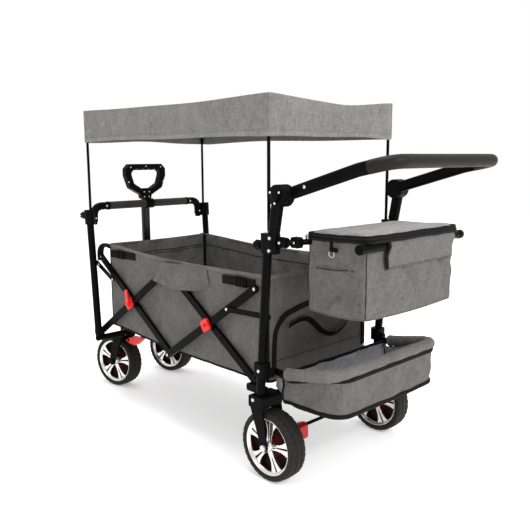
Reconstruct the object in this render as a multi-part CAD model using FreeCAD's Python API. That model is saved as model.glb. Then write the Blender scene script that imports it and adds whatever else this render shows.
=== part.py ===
"""Folding pull wagon with a canopy, a rear bag and a rear tray.

Row frame: +X is forward, towards the pull handle. +Y is the wagon's left. +Z is up.
The origin is on the floor, under the middle of the wagon's bounding box. Millimetres.
"""
import FreeCAD, Part
import math
import os

Vector = FreeCAD.Vector
ALONG_X = Vector(1, 0, 0)
ALONG_Y = Vector(0, 1, 0)
ALONG_Z = Vector(0, 0, 1)

# wheels
WHEEL_R = 103.0
TYRE_W = 62.0
RIM_R = 84.0
RIM_INNER_R = 74.0
HUB_R = 17.0
AXLE_R = 6.0
REAR_WHEEL = (-357.0, 254.0)
FRONT_WHEEL = (654.0, 131.0)
CASTER_X = 613.0
CASTER_TURN = 12.0
LOCK_PIN = (582.0, 199.0)

# running clearances
RUN = 0.05
GAP = 0.4

# frame tubes
POST_R = 13.0
TUBE_WALL = 1.6
POST_Y = 275.0
REAR_POST_FOOT = (-326.0, 249.0)
REAR_POST_TOP = (-357.0, 680.0)
FRONT_POST_FOOT = (566.5, 249.0)
FRONT_POST_TOP = (593.5, 690.0)
CROSSBAR_Z = 238.0
FRONT_CROSSBAR_X = 566.0

# scissor linkage: four equal bars a side, pinned at their middles
SCISSOR_X = -279.0
SCISSOR_LOW_Z = 257.0
SCISSOR_QUARTER = 216.0
SCISSOR_HALF_RISE = 145.0
BAR_H = 23.0
INNER_BAR_Y = (233.0, 243.0)
OUTER_BAR_Y = (245.0, 255.0)
LINK_Y = (257.0, 261.0)
PIN_R = 4.0
REAR_LINK = ((-343.0, 477.0), (-164.0, 469.8))
FRONT_LINK = ((582.0, 526.0), (477.1, 474.5))
LINK_H = 16.0

# the channel over each rear wheel
FORK_HEAD_X = (-352.0, -298.0)
FORK_HEAD_Z = (214.0, 249.0)

# fabric basket
BASKET_X = (-314.0, 545.0)
BASKET_Y = 231.0
BASKET_Z = (268.0, 598.0)
BASKET_FLOOR = 6.0
FABRIC = 3.0
FLAP_X = (-262.0, 500.0)
FLAP_Z = (505.0, 596.0)

# clamps at the tops of the posts
REAR_CLAMP_X = (-394.0, -340.0)
REAR_CLAMP_Z = (662.0, 716.0)
REAR_KNOB_Z = 681.0
FRONT_CLAMP_X = (598.0, 614.0)
FRONT_CLAMP_Z = (672.0, 726.0)
FRONT_KNOB_Z = 703.0
CLAMP_Y = (256.0, 293.0)
FRONT_SLEEVE_R = 18.5

# canopy
CANOPY_X = (-366.0, 606.0)
CANOPY_Y = 278.0
CANOPY_Z = (974.0, 1096.0)
CANOPY_CORNER_Z = 1086.0
ROD_R = 4.75
ROD_X = (-355.0, 597.0)
ROD_Y = 269.0
ROD_TOP_Z = 1080.0

# push bar
PUSH_HINGE = (-399.0, 818.0)
PUSH_Y = 248.0
PUSH_END = (-738.4, 909.0)
DISC_R = 30.0
GRIP_R = 17.3
ARM_H = 34.0
ARM_W = 20.0
FIXED_DISC_Y = (267.0, 285.0)
MOVING_DISC_Y = (245.0, 266.6)

# rear bag
BAG_X = (-631.0, -438.0)
BAG_Y = 206.0
BAG_Z = (507.0, 708.0)
BAG_BAR = (-640.0, 694.0)
BAG_CAP_Y = (227.0, 241.0)
LID_X = (-652.0, -434.0)
LID_Y = 211.0
LID_Z = (710.0, 722.0)

# rear tray
TRAY_HINGE = (-352.0, 318.0)
TRAY_Y = 242.0
TRAY_BEND_AT = (-400.0, 321.0)
TRAY_REAR = (-574.0, 355.0)
SLEEVE_X = -406.0
TRAY_SLEEVE_R = 19.0
TRAY_BENDS = [40.0, 52.0, 52.0, 40.0]
POUCH_CORNER_R = 46.0
POUCH_Y = 236.0
POUCH_X = (-586.0, -382.0)
POUCH_FRONT_Z = 298.0
POUCH_FLOOR_Z = 231.0

# front bar and pull handle
TOP_BAR_X = 609.0
TOP_BAR_Z = 736.0
TOP_BAR_Y = 248.0
TOP_BAR_FOOT_Z = 668.0
TOP_BAR_BEND = 40.0
FOAM_R = 15.0
FOAM_Y = 181.0
STEM_X = 635.0
STEM_D = 20.0
STEM_W = 33.0
STEM_PIVOT_Z = 245.0
STEM_TOP_Z = 752.0
SLIDER_TOP_Z = 778.0
GRIP_Z = (753.0, 892.0)
GRIP_W = 186.0

# rear brake
BRAKE = (-394.0, 146.0)
PEDAL_Y = (174.0, 211.0)


def at(x, y, z):
    return Vector(x, y, z)


def box(x, y, z):
    """A block from three (low, high) pairs."""
    corner = at(min(x), min(y), min(z))
    return Part.makeBox(abs(x[1] - x[0]), abs(y[1] - y[0]), abs(z[1] - z[0]), corner)


def rod(start, end, radius):
    """A round bar between two points."""
    run = end - start
    return Part.makeCylinder(radius, run.Length, start, run)


def pin_y(x, z, y, radius):
    """A round bar along Y at (x, z), between two values of y."""
    return rod(at(x, min(y), z), at(x, max(y), z), radius)


def tube(start, end, radius, wall=TUBE_WALL):
    return rod(start, end, radius).cut(rod(start, end, radius - wall))


def mirrored(shape):
    return shape.mirror(at(0, 0, 0), ALONG_Y)


def pair(shape):
    """A left-hand shape and its right-hand twin, as separate solids."""
    return Part.makeCompound(shape.Solids + mirrored(shape).Solids)


def bent_path(points, bend):
    """Straight runs joined by arcs of one radius, or a list of radii."""
    count = len(points) - 2
    bends = bend if isinstance(bend, list) else [bend] * count
    edges, here = [], points[0]
    for n in range(count):
        corner = points[n + 1]
        back = (points[n] - corner).normalize()
        on = (points[n + 2] - corner).normalize()
        half = back.getAngle(on) / 2
        reach = bends[n] / math.tan(half)
        first, last = corner + back * reach, corner + on * reach
        toward = (back + on).normalize()
        middle = corner + toward * (bends[n] / math.sin(half) - bends[n])
        edges.append(Part.LineSegment(here, first).toShape())
        edges.append(Part.Arc(first, middle, last).toShape())
        here = last
    edges.append(Part.LineSegment(here, points[-1]).toShape())
    return Part.Wire(edges)


def bent_rod(points, bend, radius):
    """A solid round bar along a bent path."""
    path = bent_path(points, bend)
    circle = Part.Wire([Part.makeCircle(radius, points[0], points[1] - points[0])])
    return path.makePipeShell([circle], True, True)


def bent_tube(points, bend, radius, wall=TUBE_WALL):
    return bent_rod(points, bend, radius).cut(bent_rod(points, bend, radius - wall))


def plate_xz(outline, y):
    """A flat plate from (x, z) corners, between two values of y."""
    corners = [at(px, min(y), pz) for px, pz in outline]
    face = Part.Face(Part.makePolygon(corners + corners[:1]))
    return face.extrude(at(0, abs(y[1] - y[0]), 0))


def lug(a, b, height, y):
    """A flat bar with round ends, from centre a to centre b in the XZ plane."""
    run = at(b[0] - a[0], 0, b[1] - a[1])
    side = at(-run.z, 0, run.x).normalize() * (height / 2)
    corners = [at(*p) for p in ((a[0], min(y), a[1]), (b[0], min(y), b[1]))]
    outline = [corners[0] + side, corners[1] + side, corners[1] - side, corners[0] - side]
    face = Part.Face(Part.makePolygon(outline + outline[:1]))
    bar = face.extrude(at(0, abs(y[1] - y[0]), 0))
    for end in (a, b):
        bar = bar.fuse(pin_y(end[0], end[1], y, height / 2))
    return bar.removeSplitter()


def rounded(shape, radius, along):
    """Rounds the edges that run along one direction."""
    edges = [e for e in shape.Edges if parallel(e, along)]
    return shape.makeFillet(radius, edges)


def parallel(edge, along):
    if not isinstance(edge.Curve, Part.Line):
        return False
    return abs(edge.Curve.Direction.dot(along)) > 0.999


def save(name, shape):
    shape.exportStep("parts/" + name + ".step")


def post_x(foot, top, z):
    return foot[0] + (top[0] - foot[0]) * (z - foot[1]) / (top[1] - foot[1])


def swivelled(shape, side):
    """Turns one caster's part about its kingpin. Both casters stand turned the same way."""
    turned = shape.copy()
    turned.rotate(at(CASTER_X, side * FRONT_WHEEL[1], 0), ALONG_Z, CASTER_TURN)
    return turned


# ---------------------------------------------------------------- wheels


def tyre():
    """The tyre, turned about Y, with a shallow groove each side of its crown."""
    half, shoulder, crown = TYRE_W / 2, 13.0, WHEEL_R
    edge_r = crown - 9.0
    outline = [at(RIM_R, -half + 3, 0), at(RIM_R + 6, -half, 0), at(edge_r, -half, 0)]
    outline += [at(crown - 2, -shoulder - 2, 0), at(crown, -shoulder + 4, 0)]
    outline += [at(p.x, -p.y, 0) for p in reversed(outline)]
    turned = Part.Face(Part.makePolygon(outline + outline[:1])).revolve(at(0, 0, 0), ALONG_Y, 360)
    for side in (-1, 1):
        groove = Part.makeTorus(crown, 1.6, at(0, side * 12.0, 0), ALONG_Y)
        turned = turned.cut(groove)
    return turned


def rim():
    """A barrel, a hub and five twin spokes at the outer face."""
    barrel_w, face = 52.0, (13.0, 23.0)
    barrel = pin_y(0, 0, (-barrel_w / 2, barrel_w / 2), RIM_R)
    barrel = barrel.cut(pin_y(0, 0, (-barrel_w / 2, barrel_w / 2), RIM_INNER_R))
    shape = barrel.fuse(pin_y(0, 0, (-TYRE_W / 2, TYRE_W / 2 - 1), HUB_R))
    spoke_w, spread = 8.0, 7.5
    for n in range(5):
        for side in (-1, 1):
            spoke = box((HUB_R - 6, RIM_INNER_R + 3), (face[0], face[1]), (-spoke_w / 2, spoke_w / 2))
            spoke.translate(at(0, 0, side * spread))
            spoke.rotate(at(0, 0, 0), ALONG_Y, 72.0 * n + 18.0)
            shape = shape.fuse(spoke)
    return shape.cut(pin_y(0, 0, (-TYRE_W, TYRE_W), AXLE_R + RUN)).removeSplitter()


def make_wheels():
    for end, (x, y) in (("rear", REAR_WHEEL), ("front", FRONT_WHEEL)):
        for part_name, shape in (("tyre", tyre()), ("rim", rim())):
            shape.translate(at(x, y, WHEEL_R))
            left, right = shape, mirrored(shape)
            if end == "front":
                left, right = swivelled(left, 1), swivelled(right, -1)
            save(end + "_left_" + part_name, left)
            save(end + "_right_" + part_name, right)


# ---------------------------------------------------------------- rear frame


def rear_posts():
    foot = at(REAR_POST_FOOT[0], POST_Y, REAR_POST_FOOT[1])
    top = at(REAR_POST_TOP[0], POST_Y, REAR_POST_TOP[1])
    post = tube(foot, top, POST_R)
    link_pin = pin_y(REAR_LINK[0][0], REAR_LINK[0][1], (LINK_Y[0] - 3, POST_Y - POST_R + 1.0), PIN_R)
    return post.fuse(link_pin)


def pivot_lug(pivot, post_foot, post_top, reach_y):
    """A plate on the post with a pin that carries a scissor bar's lower end."""
    low, high = pivot[1] - 8.0, pivot[1] + 14.0
    centre = post_x(post_foot, post_top, pivot[1])
    ends = sorted((centre - 13.0, centre + 13.0, pivot[0] - 12.0, pivot[0] + 12.0))
    plate = box((ends[0], ends[-1]), (LINK_Y[0], POST_Y), (low, high))
    plate = rounded(plate, 6.0, ALONG_Y)
    solid_post = rod(at(post_foot[0], POST_Y, post_foot[1]), at(post_top[0], POST_Y, post_top[1]), POST_R)
    plate = plate.cut(solid_post)
    plate = max(plate.Solids, key=lambda s: s.Volume)
    return plate.fuse(pin_y(pivot[0], pivot[1], (reach_y, LINK_Y[0] + 2), PIN_R))


def rear_crossbar():
    """The tube between the rear forks, and the lugs that carry the scissor bars."""
    bar = tube(at(REAR_POST_FOOT[0], -212, CROSSBAR_Z), at(REAR_POST_FOOT[0], 212, CROSSBAR_Z), 10.0)
    lugs = pair(pivot_lug((SCISSOR_X, SCISSOR_LOW_Z), REAR_POST_FOOT, REAR_POST_TOP, INNER_BAR_Y[0]))
    return Part.makeCompound(bar.Solids + lugs.Solids)


def rear_fork():
    """A bracket box over the wheel, two raked plates and a lug for the brake rod."""
    wheel_x, wheel_y = REAR_WHEEL
    head = box(FORK_HEAD_X, (212, 296), FORK_HEAD_Z)
    shape = rounded(head, 5.0, ALONG_Y)
    foot_r = 12.5
    outline = [(FORK_HEAD_X[0] + 2, FORK_HEAD_Z[0] + 8), (FORK_HEAD_X[1] - 2, FORK_HEAD_Z[0] + 8)]
    outline += [(wheel_x + foot_r, WHEEL_R), (wheel_x - foot_r, WHEEL_R)]
    for y in ((289.0, 294.0), (214.0, 219.0)):
        shape = shape.fuse(plate_xz(outline, y)).fuse(pin_y(wheel_x, WHEEL_R, y, foot_r))
    shape = shape.fuse(lug((-352.0, 160.0), BRAKE, 20.0, (214.0, 219.0)))
    foot, top = REAR_POST_FOOT, REAR_POST_TOP
    shape = shape.cut(rod(at(foot[0], POST_Y, foot[1]), at(top[0], POST_Y, top[1]), POST_R))
    shape = shape.cut(pin_y(wheel_x, WHEEL_R, (200, 300), AXLE_R))
    shape = shape.cut(pin_y(BRAKE[0], BRAKE[1], (200, 225), 5.0 + RUN))
    return shape.removeSplitter()


def rear_axle():
    pin = pin_y(REAR_WHEEL[0], WHEEL_R, (212.0, 296.0), AXLE_R)
    for y in ((294.0, 299.0), (209.0, 214.0)):
        pin = pin.fuse(pin_y(REAR_WHEEL[0], WHEEL_R, y, 9.5))
    return pin


def push_bar_socket():
    """The short leaning tube and the fixed half of the push bar's hinge."""
    hx, hz = PUSH_HINGE
    sleeve = rod(at(-378, POST_Y, 694), at(hx + 3, POST_Y, hz - 14), 14.0)
    cover = rod(at(-380.4, POST_Y, 719), at(hx + 3, POST_Y, hz - 14), 17.0)
    sleeve = sleeve.fuse(cover).cut(pin_y(hx, hz, (240.0, FIXED_DISC_Y[0]), DISC_R + 1.0))
    disc = pin_y(hx, hz, FIXED_DISC_Y, DISC_R)
    shape = sleeve.fuse(disc)
    return shape.cut(pin_y(hx, hz, (250, 300), 6.0 + RUN))


def rear_clamp():
    block = box(REAR_CLAMP_X, CLAMP_Y, REAR_CLAMP_Z)
    block = rounded(block, 13.0, ALONG_Z)
    block = block.cut(rod(at(-378, POST_Y, 694), at(PUSH_HINGE[0] + 3, POST_Y, PUSH_HINGE[1] - 14), 14.0))
    foot, top = REAR_POST_FOOT, REAR_POST_TOP
    block = block.cut(rod(at(foot[0], POST_Y, foot[1]), at(top[0], POST_Y, top[1]), POST_R))
    block = block.cut(rod(at(ROD_X[0], ROD_Y, 658), at(ROD_X[0], ROD_Y, 720), ROD_R + GAP))
    return block.cut(rod(at(REAR_CLAMP_X[1] - 6, POST_Y, REAR_KNOB_Z), at(REAR_CLAMP_X[1] + 4, POST_Y, REAR_KNOB_Z), 3.0 + RUN))


def tray_collar():
    """A collar round the rear post with the pin that the tray swings on."""
    x = post_x(REAR_POST_FOOT, REAR_POST_TOP, 326.0)
    collar = box((x - 19, x + 19), (254, 292), (306, 346))
    collar = rounded(collar, 8.0, ALONG_Z)
    ear = box((TRAY_HINGE[0] - 14, x), (257, 270), (306, 332))
    collar = collar.fuse(rounded(ear, 5.0, ALONG_Y))
    foot, top = REAR_POST_FOOT, REAR_POST_TOP
    collar = collar.cut(rod(at(foot[0], POST_Y, foot[1]), at(top[0], POST_Y, top[1]), POST_R))
    collar = max(collar.Solids, key=lambda s: s.Volume)
    return collar.fuse(pin_y(TRAY_HINGE[0], TRAY_HINGE[1], (238.0, 260.0), 5.0))


def rear_clamps():
    return Part.makeCompound(pair(rear_clamp()).Solids + pair(tray_collar()).Solids)


def rear_bolts():
    """Bolt heads on the clamps and the fork brackets."""
    heads = []
    for x, z in ((-382.0, 672.0), (-384.0, 706.0)):
        heads.append(pin_y(x, z, (294.0, 297.0), 4.5))
    heads.append(pin_y(-337.0, 326.0, (292.0, 295.0), 4.5))
    heads.append(pin_y(-318.0, 237.0, (296.0, 299.0), 5.0))
    both = [twin for head in heads for twin in (head, mirrored(head))]
    return Part.makeCompound(both)


def bag_frame():
    """Two arms from the clamps and the round bar under the lid's rear edge."""
    bar_x, z = BAG_BAR
    points = [at(-394, 266, z), at(-420, 266, z), at(-452, 188, z), at(bar_x, 188, z)]
    arm = bent_rod(points, 14.0, 8.0)
    bar = rod(at(bar_x, -BAG_CAP_Y[0], z), at(bar_x, BAG_CAP_Y[0], z), 11.0)
    shape = bar.fuse(arm).fuse(mirrored(arm))
    for side in (-1, 1):
        shape = shape.fuse(rod(at(bar_x, side * BAG_CAP_Y[0], z), at(bar_x, side * BAG_CAP_Y[1], z), 13.0))
    return shape


def bag_shell(frame):
    outer = rounded(box(BAG_X, (-BAG_Y, BAG_Y), BAG_Z), 14.0, ALONG_Z)
    hollow_x = (BAG_X[0] + FABRIC, BAG_X[1] - FABRIC)
    hollow_y = (-BAG_Y + FABRIC, BAG_Y - FABRIC)
    hollow = rounded(box(hollow_x, hollow_y, (BAG_Z[0] + FABRIC, BAG_Z[1] + 1)), 10.0, ALONG_Z)
    shell = outer.cut(hollow).cut(frame)
    return max(shell.Solids, key=lambda s: s.Volume)


def bag_lid():
    lid = rounded(box(LID_X, (-LID_Y, LID_Y), LID_Z), 14.0, ALONG_Z)
    hinge_pin = pin_y(LID_X[1] - 3.0, LID_Z[0] + 3.0, (-LID_Y + 20, LID_Y - 20), 3.0)
    return lid.fuse(hinge_pin)


def basket():
    """The fabric tub, open at the top, with a stiff flat floor."""
    outer = rounded(box(BASKET_X, (-BASKET_Y, BASKET_Y), BASKET_Z), 20.0, ALONG_Z)
    hollow_x = (BASKET_X[0] + FABRIC, BASKET_X[1] - FABRIC)
    hollow_y = (-BASKET_Y + FABRIC, BASKET_Y - FABRIC)
    hollow = rounded(box(hollow_x, hollow_y, (BASKET_Z[0] + BASKET_FLOOR, BASKET_Z[1] + 1)), 16.0, ALONG_Z)
    return outer.cut(hollow)


def side_flap():
    """The skirt that hangs over the bars from the basket's rim."""
    drop = box(FLAP_X, (LINK_Y[0], LINK_Y[1]), FLAP_Z)
    top = box(FLAP_X, (BASKET_Y + 1.0, LINK_Y[1]), (FLAP_Z[1] - FABRIC, FLAP_Z[1]))
    return drop.fuse(top).removeSplitter()


def make_rear_frame():
    save("rear_posts", pair(rear_posts()))
    save("rear_crossbar", rear_crossbar())
    save("rear_forks", pair(rear_fork()))
    save("rear_axles", pair(rear_axle()))
    save("push_bar_sockets", pair(push_bar_socket()))
    save("rear_clamps", rear_clamps())
    save("rear_bolts", rear_bolts())
    frame = bag_frame()
    save("bag_frame", frame)
    save("bag_shell", bag_shell(frame))
    save("bag_lid", bag_lid())
    save("basket", basket())
    save("side_flaps", pair(side_flap()))


# ---------------------------------------------------------------- push bar


def push_bar_points():
    hx, hz = PUSH_HINGE
    ex, ez = PUSH_END
    arm = [at(hx - 12, PUSH_Y, hz + 4), at(-640, PUSH_Y, 889), at(ex, PUSH_Y, ez)]
    return arm + [at(p.x, -p.y, p.z) for p in reversed(arm)]


def push_arm():
    """The oval tube from the hinge to the grip."""
    points = push_bar_points()[:3]
    end = points[2] + (points[1] - points[2]).normalize() * 44.0
    path = bent_path([points[0], points[1], end], 200.0)
    run = (points[1] - points[0]).normalize()
    up = at(-run.z, 0, run.x) * -1.0
    section = []
    for half_w, half_h in ((ARM_W / 2, ARM_H / 2), (ARM_W / 2 - TUBE_WALL, ARM_H / 2 - TUBE_WALL)):
        flat = half_h - half_w
        c, y = points[0], ALONG_Y * half_w
        left = [c + y + up * flat, c + up * half_h, c - y + up * flat]
        right = [c - y - up * flat, c - up * half_h, c + y - up * flat]
        edges = [Part.Arc(*left).toShape(), Part.LineSegment(left[2], right[0]).toShape()]
        edges += [Part.Arc(*right).toShape(), Part.LineSegment(right[2], left[0]).toShape()]
        section.append(path.makePipeShell([Part.Wire(edges)], True, False))
    return section[0].cut(section[1])


def push_bar():
    """Two oval arms, and the round crossbar inside the grip."""
    points = push_bar_points()
    start = points[2] + (points[1] - points[2]).normalize() * 64.0
    run = [start, points[2], points[3], at(start.x, -start.y, start.z)]
    cross = bent_tube(run, 42.0, 8.0)
    clear = pin_y(PUSH_HINGE[0], PUSH_HINGE[1], (-300, 300), DISC_R)
    arm = push_arm().cut(clear).cut(bent_rod(run, 42.0, 8.0))
    return Part.makeCompound(pair(arm).Solids + cross.Solids)


def push_bar_disc():
    """The moving half of the hinge, with the pin that turns in the fixed half."""
    hx, hz = PUSH_HINGE
    disc = pin_y(hx, hz, MOVING_DISC_Y, DISC_R)
    return disc.fuse(pin_y(hx, hz, (MOVING_DISC_Y[1], 290.0), 6.0))


def push_bar_grip():
    """Foam along the crossbar and round its corners."""
    points = push_bar_points()
    start = points[2] + (points[1] - points[2]).normalize() * 66.0
    run = [start, points[2], points[3], at(start.x, -start.y, start.z)]
    return bent_rod(run, 42.0, GRIP_R).cut(push_bar())


def make_push_bar():
    save("push_bar", push_bar())
    save("push_bar_discs", pair(push_bar_disc()))
    save("push_bar_grip", push_bar_grip())


# ---------------------------------------------------------------- rear tray


def tray_points():
    hx, hz = TRAY_HINGE
    rx, rz = TRAY_REAR
    side = [at(hx - 24, TRAY_Y, hz), at(TRAY_BEND_AT[0], TRAY_Y, TRAY_BEND_AT[1]), at(rx, TRAY_Y, rz)]
    return side + [at(p.x, -p.y, p.z) for p in reversed(side)]


def tray_bar():
    """The bent bar with a flat eye at each end, on the collar's pin."""
    bar = bent_rod(tray_points(), TRAY_BENDS, 8.0)
    eye = lug(TRAY_HINGE, (TRAY_HINGE[0] - 26, TRAY_HINGE[1]), 18.0, (239.0, 247.0))
    neck = box((TRAY_HINGE[0] - 34, TRAY_HINGE[0] - 20), (TRAY_Y, 247.0), (TRAY_HINGE[1] - 7, TRAY_HINGE[1] + 7))
    shape = bar.fuse(eye).fuse(mirrored(eye)).fuse(neck).fuse(mirrored(neck))
    return shape.cut(pin_y(TRAY_HINGE[0], TRAY_HINGE[1], (-300, 300), 5.0 + RUN))


def tray_sleeve():
    """The padded cover round the tray's bar, from a little way behind its bend."""
    (ax, az), (bx, bz) = TRAY_BEND_AT, TRAY_REAR
    start_z = az + (bz - az) * (SLEEVE_X - ax) / (bx - ax)
    start = at(SLEEVE_X, TRAY_Y, start_z)
    points = [start] + tray_points()[2:4] + [at(start.x, -start.y, start.z)]
    return bent_rod(points, TRAY_BENDS[1:3], TRAY_SLEEVE_R).cut(tray_bar())


def pouch_plan(rear, front, inset):
    """A tall block with the tray's wide rear corners, reaching past its front."""
    width = (-POUCH_Y + inset, POUCH_Y - inset)
    block = box((rear + inset, front + 2 * POUCH_CORNER_R), width, (POUCH_FLOOR_Z - 1, TRAY_REAR[1] + 1))
    return rounded(block, POUCH_CORNER_R - inset, ALONG_Z)


def tray_pouch():
    """The shallow fabric tray that hangs from the padded bar."""
    (rear, front), floor, rim = POUCH_X, POUCH_FLOOR_Z, TRAY_REAR[1] - 8.0
    outer = plate_xz([(front, floor), (rear + 8, floor), (rear, rim), (front, POUCH_FRONT_Z)], (-POUCH_Y, POUCH_Y))
    outer = outer.common(pouch_plan(rear, front, 0.0))
    inner = [(front - FABRIC, floor + FABRIC), (rear + 12, floor + FABRIC)]
    inner += [(rear + FABRIC, 360), (front - FABRIC, 360)]
    hollow = plate_xz(inner, (-POUCH_Y + FABRIC, POUCH_Y - FABRIC))
    shape = outer.cut(hollow.common(pouch_plan(rear, front, FABRIC)))
    room = bent_rod(tray_points(), TRAY_BENDS, TRAY_SLEEVE_R + GAP)
    shape = shape.cut(room)
    return max(shape.Solids, key=lambda s: s.Volume)


def make_tray():
    save("tray_bar", tray_bar())
    save("tray_sleeve", tray_sleeve())
    save("tray_pouch", tray_pouch())


# ---------------------------------------------------------------- rear brake


def brake_rod():
    return pin_y(BRAKE[0], BRAKE[1], (-219.0, 219.0), 5.0)


def brake_pedal():
    x, z = BRAKE
    outline = [(x + 9, z + 12), (x - 10, z + 18), (x - 26, z + 12), (x - 26, z - 26)]
    outline += [(x - 18, z - 32), (x - 6, z - 22), (x + 5, z - 10)]
    pedal = plate_xz(outline, PEDAL_Y)
    return pedal.cut(pin_y(x, z, (PEDAL_Y[0] - 1, PEDAL_Y[1] + 1), 5.0))


def make_brake():
    save("brake_rod", brake_rod())
    save("brake_pedals", pair(brake_pedal()))


# ---------------------------------------------------------------- front frame


def front_posts():
    foot = at(FRONT_POST_FOOT[0], POST_Y, FRONT_POST_FOOT[1])
    top = at(FRONT_POST_TOP[0], POST_Y, FRONT_POST_TOP[1])
    post = tube(foot, top, POST_R)
    pin = pin_y(FRONT_LINK[0][0], FRONT_LINK[0][1], (LINK_Y[0] - 3, POST_Y - POST_R + 1.0), PIN_R)
    return post.fuse(pin)


def front_crossbar():
    """The bottom tube, and the lugs that carry the scissor bars."""
    bar = tube(at(FRONT_CROSSBAR_X, -284, CROSSBAR_Z), at(FRONT_CROSSBAR_X, 284, CROSSBAR_Z), 11.0)
    pivot = (SCISSOR_X + 4 * SCISSOR_QUARTER, SCISSOR_LOW_Z)
    plate = pivot_lug(pivot, FRONT_POST_FOOT, FRONT_POST_TOP, OUTER_BAR_Y[0] - 1.0)
    plate = plate.cut(rod(at(FRONT_CROSSBAR_X, -290, CROSSBAR_Z), at(FRONT_CROSSBAR_X, 290, CROSSBAR_Z), 11.0))
    plate = max(plate.Solids, key=lambda s: s.Volume)
    return Part.makeCompound(bar.Solids + pair(plate).Solids)


def front_clamp():
    """A sleeve round the post, a boss for the knob and a web to the front bar."""
    foot, top = FRONT_POST_FOOT, FRONT_POST_TOP
    ends = [at(post_x(foot, top, z), POST_Y, z) for z in FRONT_CLAMP_Z]
    block = rod(ends[0], ends[1], FRONT_SLEEVE_R)
    block = block.fuse(rod(at(FRONT_CLAMP_X[0], POST_Y, FRONT_KNOB_Z), at(FRONT_CLAMP_X[1], POST_Y, FRONT_KNOB_Z), 10.0))
    block = block.fuse(box((FRONT_CLAMP_X[0], 616.0), (250.0, 268.0), (FRONT_CLAMP_Z[0], FRONT_CLAMP_Z[0] + 34.0)))
    block = block.cut(rod(at(foot[0], POST_Y, foot[1]), at(top[0], POST_Y, top[1]), POST_R))
    block = block.cut(rod(at(ROD_X[1], ROD_Y, 700), at(ROD_X[1], ROD_Y, 740), ROD_R + GAP))
    block = block.cut(bent_rod(top_bar_points(), TOP_BAR_BEND, 11.0))
    return block.cut(rod(at(FRONT_CLAMP_X[1] - 7, POST_Y, FRONT_KNOB_Z), at(FRONT_CLAMP_X[1] + 4, POST_Y, FRONT_KNOB_Z), 3.0 + RUN))


def top_bar_points():
    foot = at(TOP_BAR_X, TOP_BAR_Y, TOP_BAR_FOOT_Z)
    corner = at(TOP_BAR_X, TOP_BAR_Y, TOP_BAR_Z)
    return [foot, corner, at(corner.x, -corner.y, corner.z), at(foot.x, -foot.y, foot.z)]


def front_top_bar():
    """The bent tube across the front, with its ends turned down into the clamps."""
    return bent_tube(top_bar_points(), TOP_BAR_BEND, 11.0)


def front_foam():
    ends = at(TOP_BAR_X, -FOAM_Y, TOP_BAR_Z), at(TOP_BAR_X, FOAM_Y, TOP_BAR_Z)
    return rod(ends[0], ends[1], FOAM_R).cut(rod(ends[0], ends[1], 11.0))


def handle_clip():
    """A ring round the foam with two jaws that hold the pull handle upright."""
    ring = pin_y(TOP_BAR_X, TOP_BAR_Z, (-18.0, 18.0), FOAM_R + 4.0)
    jaws = box((TOP_BAR_X + 4, STEM_X + 9), (-22.0, 22.0), (TOP_BAR_Z - 12, TOP_BAR_Z + 12))
    slot_x = (STEM_X - STEM_D / 2 - GAP, STEM_X + 20)
    half_slot = STEM_W / 2 + GAP
    shape = ring.fuse(jaws)
    shape = shape.cut(box(slot_x, (-half_slot, half_slot), (TOP_BAR_Z - 20, TOP_BAR_Z + 20)))
    return shape.cut(pin_y(TOP_BAR_X, TOP_BAR_Z, (-30, 30), FOAM_R)).removeSplitter()


def caster_socket():
    plate = box((FRONT_CROSSBAR_X, CASTER_X), (113, 149), (222, 246))
    socket = plate.fuse(rod(at(CASTER_X, 131, 216), at(CASTER_X, 131, 248), 18.0))
    socket = socket.cut(pin_y(FRONT_CROSSBAR_X, CROSSBAR_Z, (50, 200), 11.0))
    return socket.cut(rod(at(CASTER_X, 131, 200), at(CASTER_X, 131, 241), 8.0 + RUN))


def handle_bracket():
    """Two cheeks and the pin that the pull handle swings on."""
    cheek = lug((STEM_X, STEM_PIVOT_Z), (FRONT_CROSSBAR_X, CROSSBAR_Z), 30.0, (17.5, 22.5))
    shape = cheek.fuse(mirrored(cheek)).fuse(pin_y(STEM_X, STEM_PIVOT_Z, (-25.0, 25.0), 5.0))
    return shape.cut(pin_y(FRONT_CROSSBAR_X, CROSSBAR_Z, (-50, 50), 11.0))


def front_brackets():
    solids = pair(caster_socket()).Solids
    return Part.makeCompound([max(solids, key=lambda s: s.CenterOfMass.y)] + [
        min(solids, key=lambda s: s.CenterOfMass.y)] + handle_bracket().Solids)


def make_front_frame():
    save("front_posts", pair(front_posts()))
    save("front_crossbar", front_crossbar())
    save("front_clamps", pair(front_clamp()))
    save("front_top_bar", front_top_bar())
    save("front_foam_grip", front_foam())
    save("handle_clip", handle_clip())
    save("front_brackets", front_brackets())


# ---------------------------------------------------------------- casters


def caster_fork():
    """A kingpin, a crown plate and two cheeks down to the axle."""
    x, y = FRONT_WHEEL
    near, far = 34.0, 39.0
    crown = box((CASTER_X - 22, CASTER_X + 30), (y - far, y + far), (208.0, 215.0))
    shape = rounded(crown, 8.0, ALONG_Z)
    shape = shape.fuse(rod(at(CASTER_X, y, 210), at(CASTER_X, y, 239), 8.0))
    for side in ((y + near, y + far), (y - far, y - near)):
        cheek = plate_xz([(CASTER_X - 18, 211), (CASTER_X + 28, 211), (x + 13, WHEEL_R + 4), (x - 14, WHEEL_R - 4)], side)
        shape = shape.fuse(cheek).fuse(pin_y(x, WHEEL_R, side, 14.0))
    shape = shape.cut(pin_y(x, WHEEL_R, (y - 60, y + 60), AXLE_R)).removeSplitter()
    axle = pin_y(x, WHEEL_R, (y - far - 1, y + far + 1), AXLE_R)
    for side in ((y + far, y + far + 5), (y - far - 5, y - far)):
        axle = axle.fuse(pin_y(x, WHEEL_R, side, 9.5))
    axle = axle.cut(shape)
    return Part.makeCompound(shape.Solids + axle.Solids)


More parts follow.
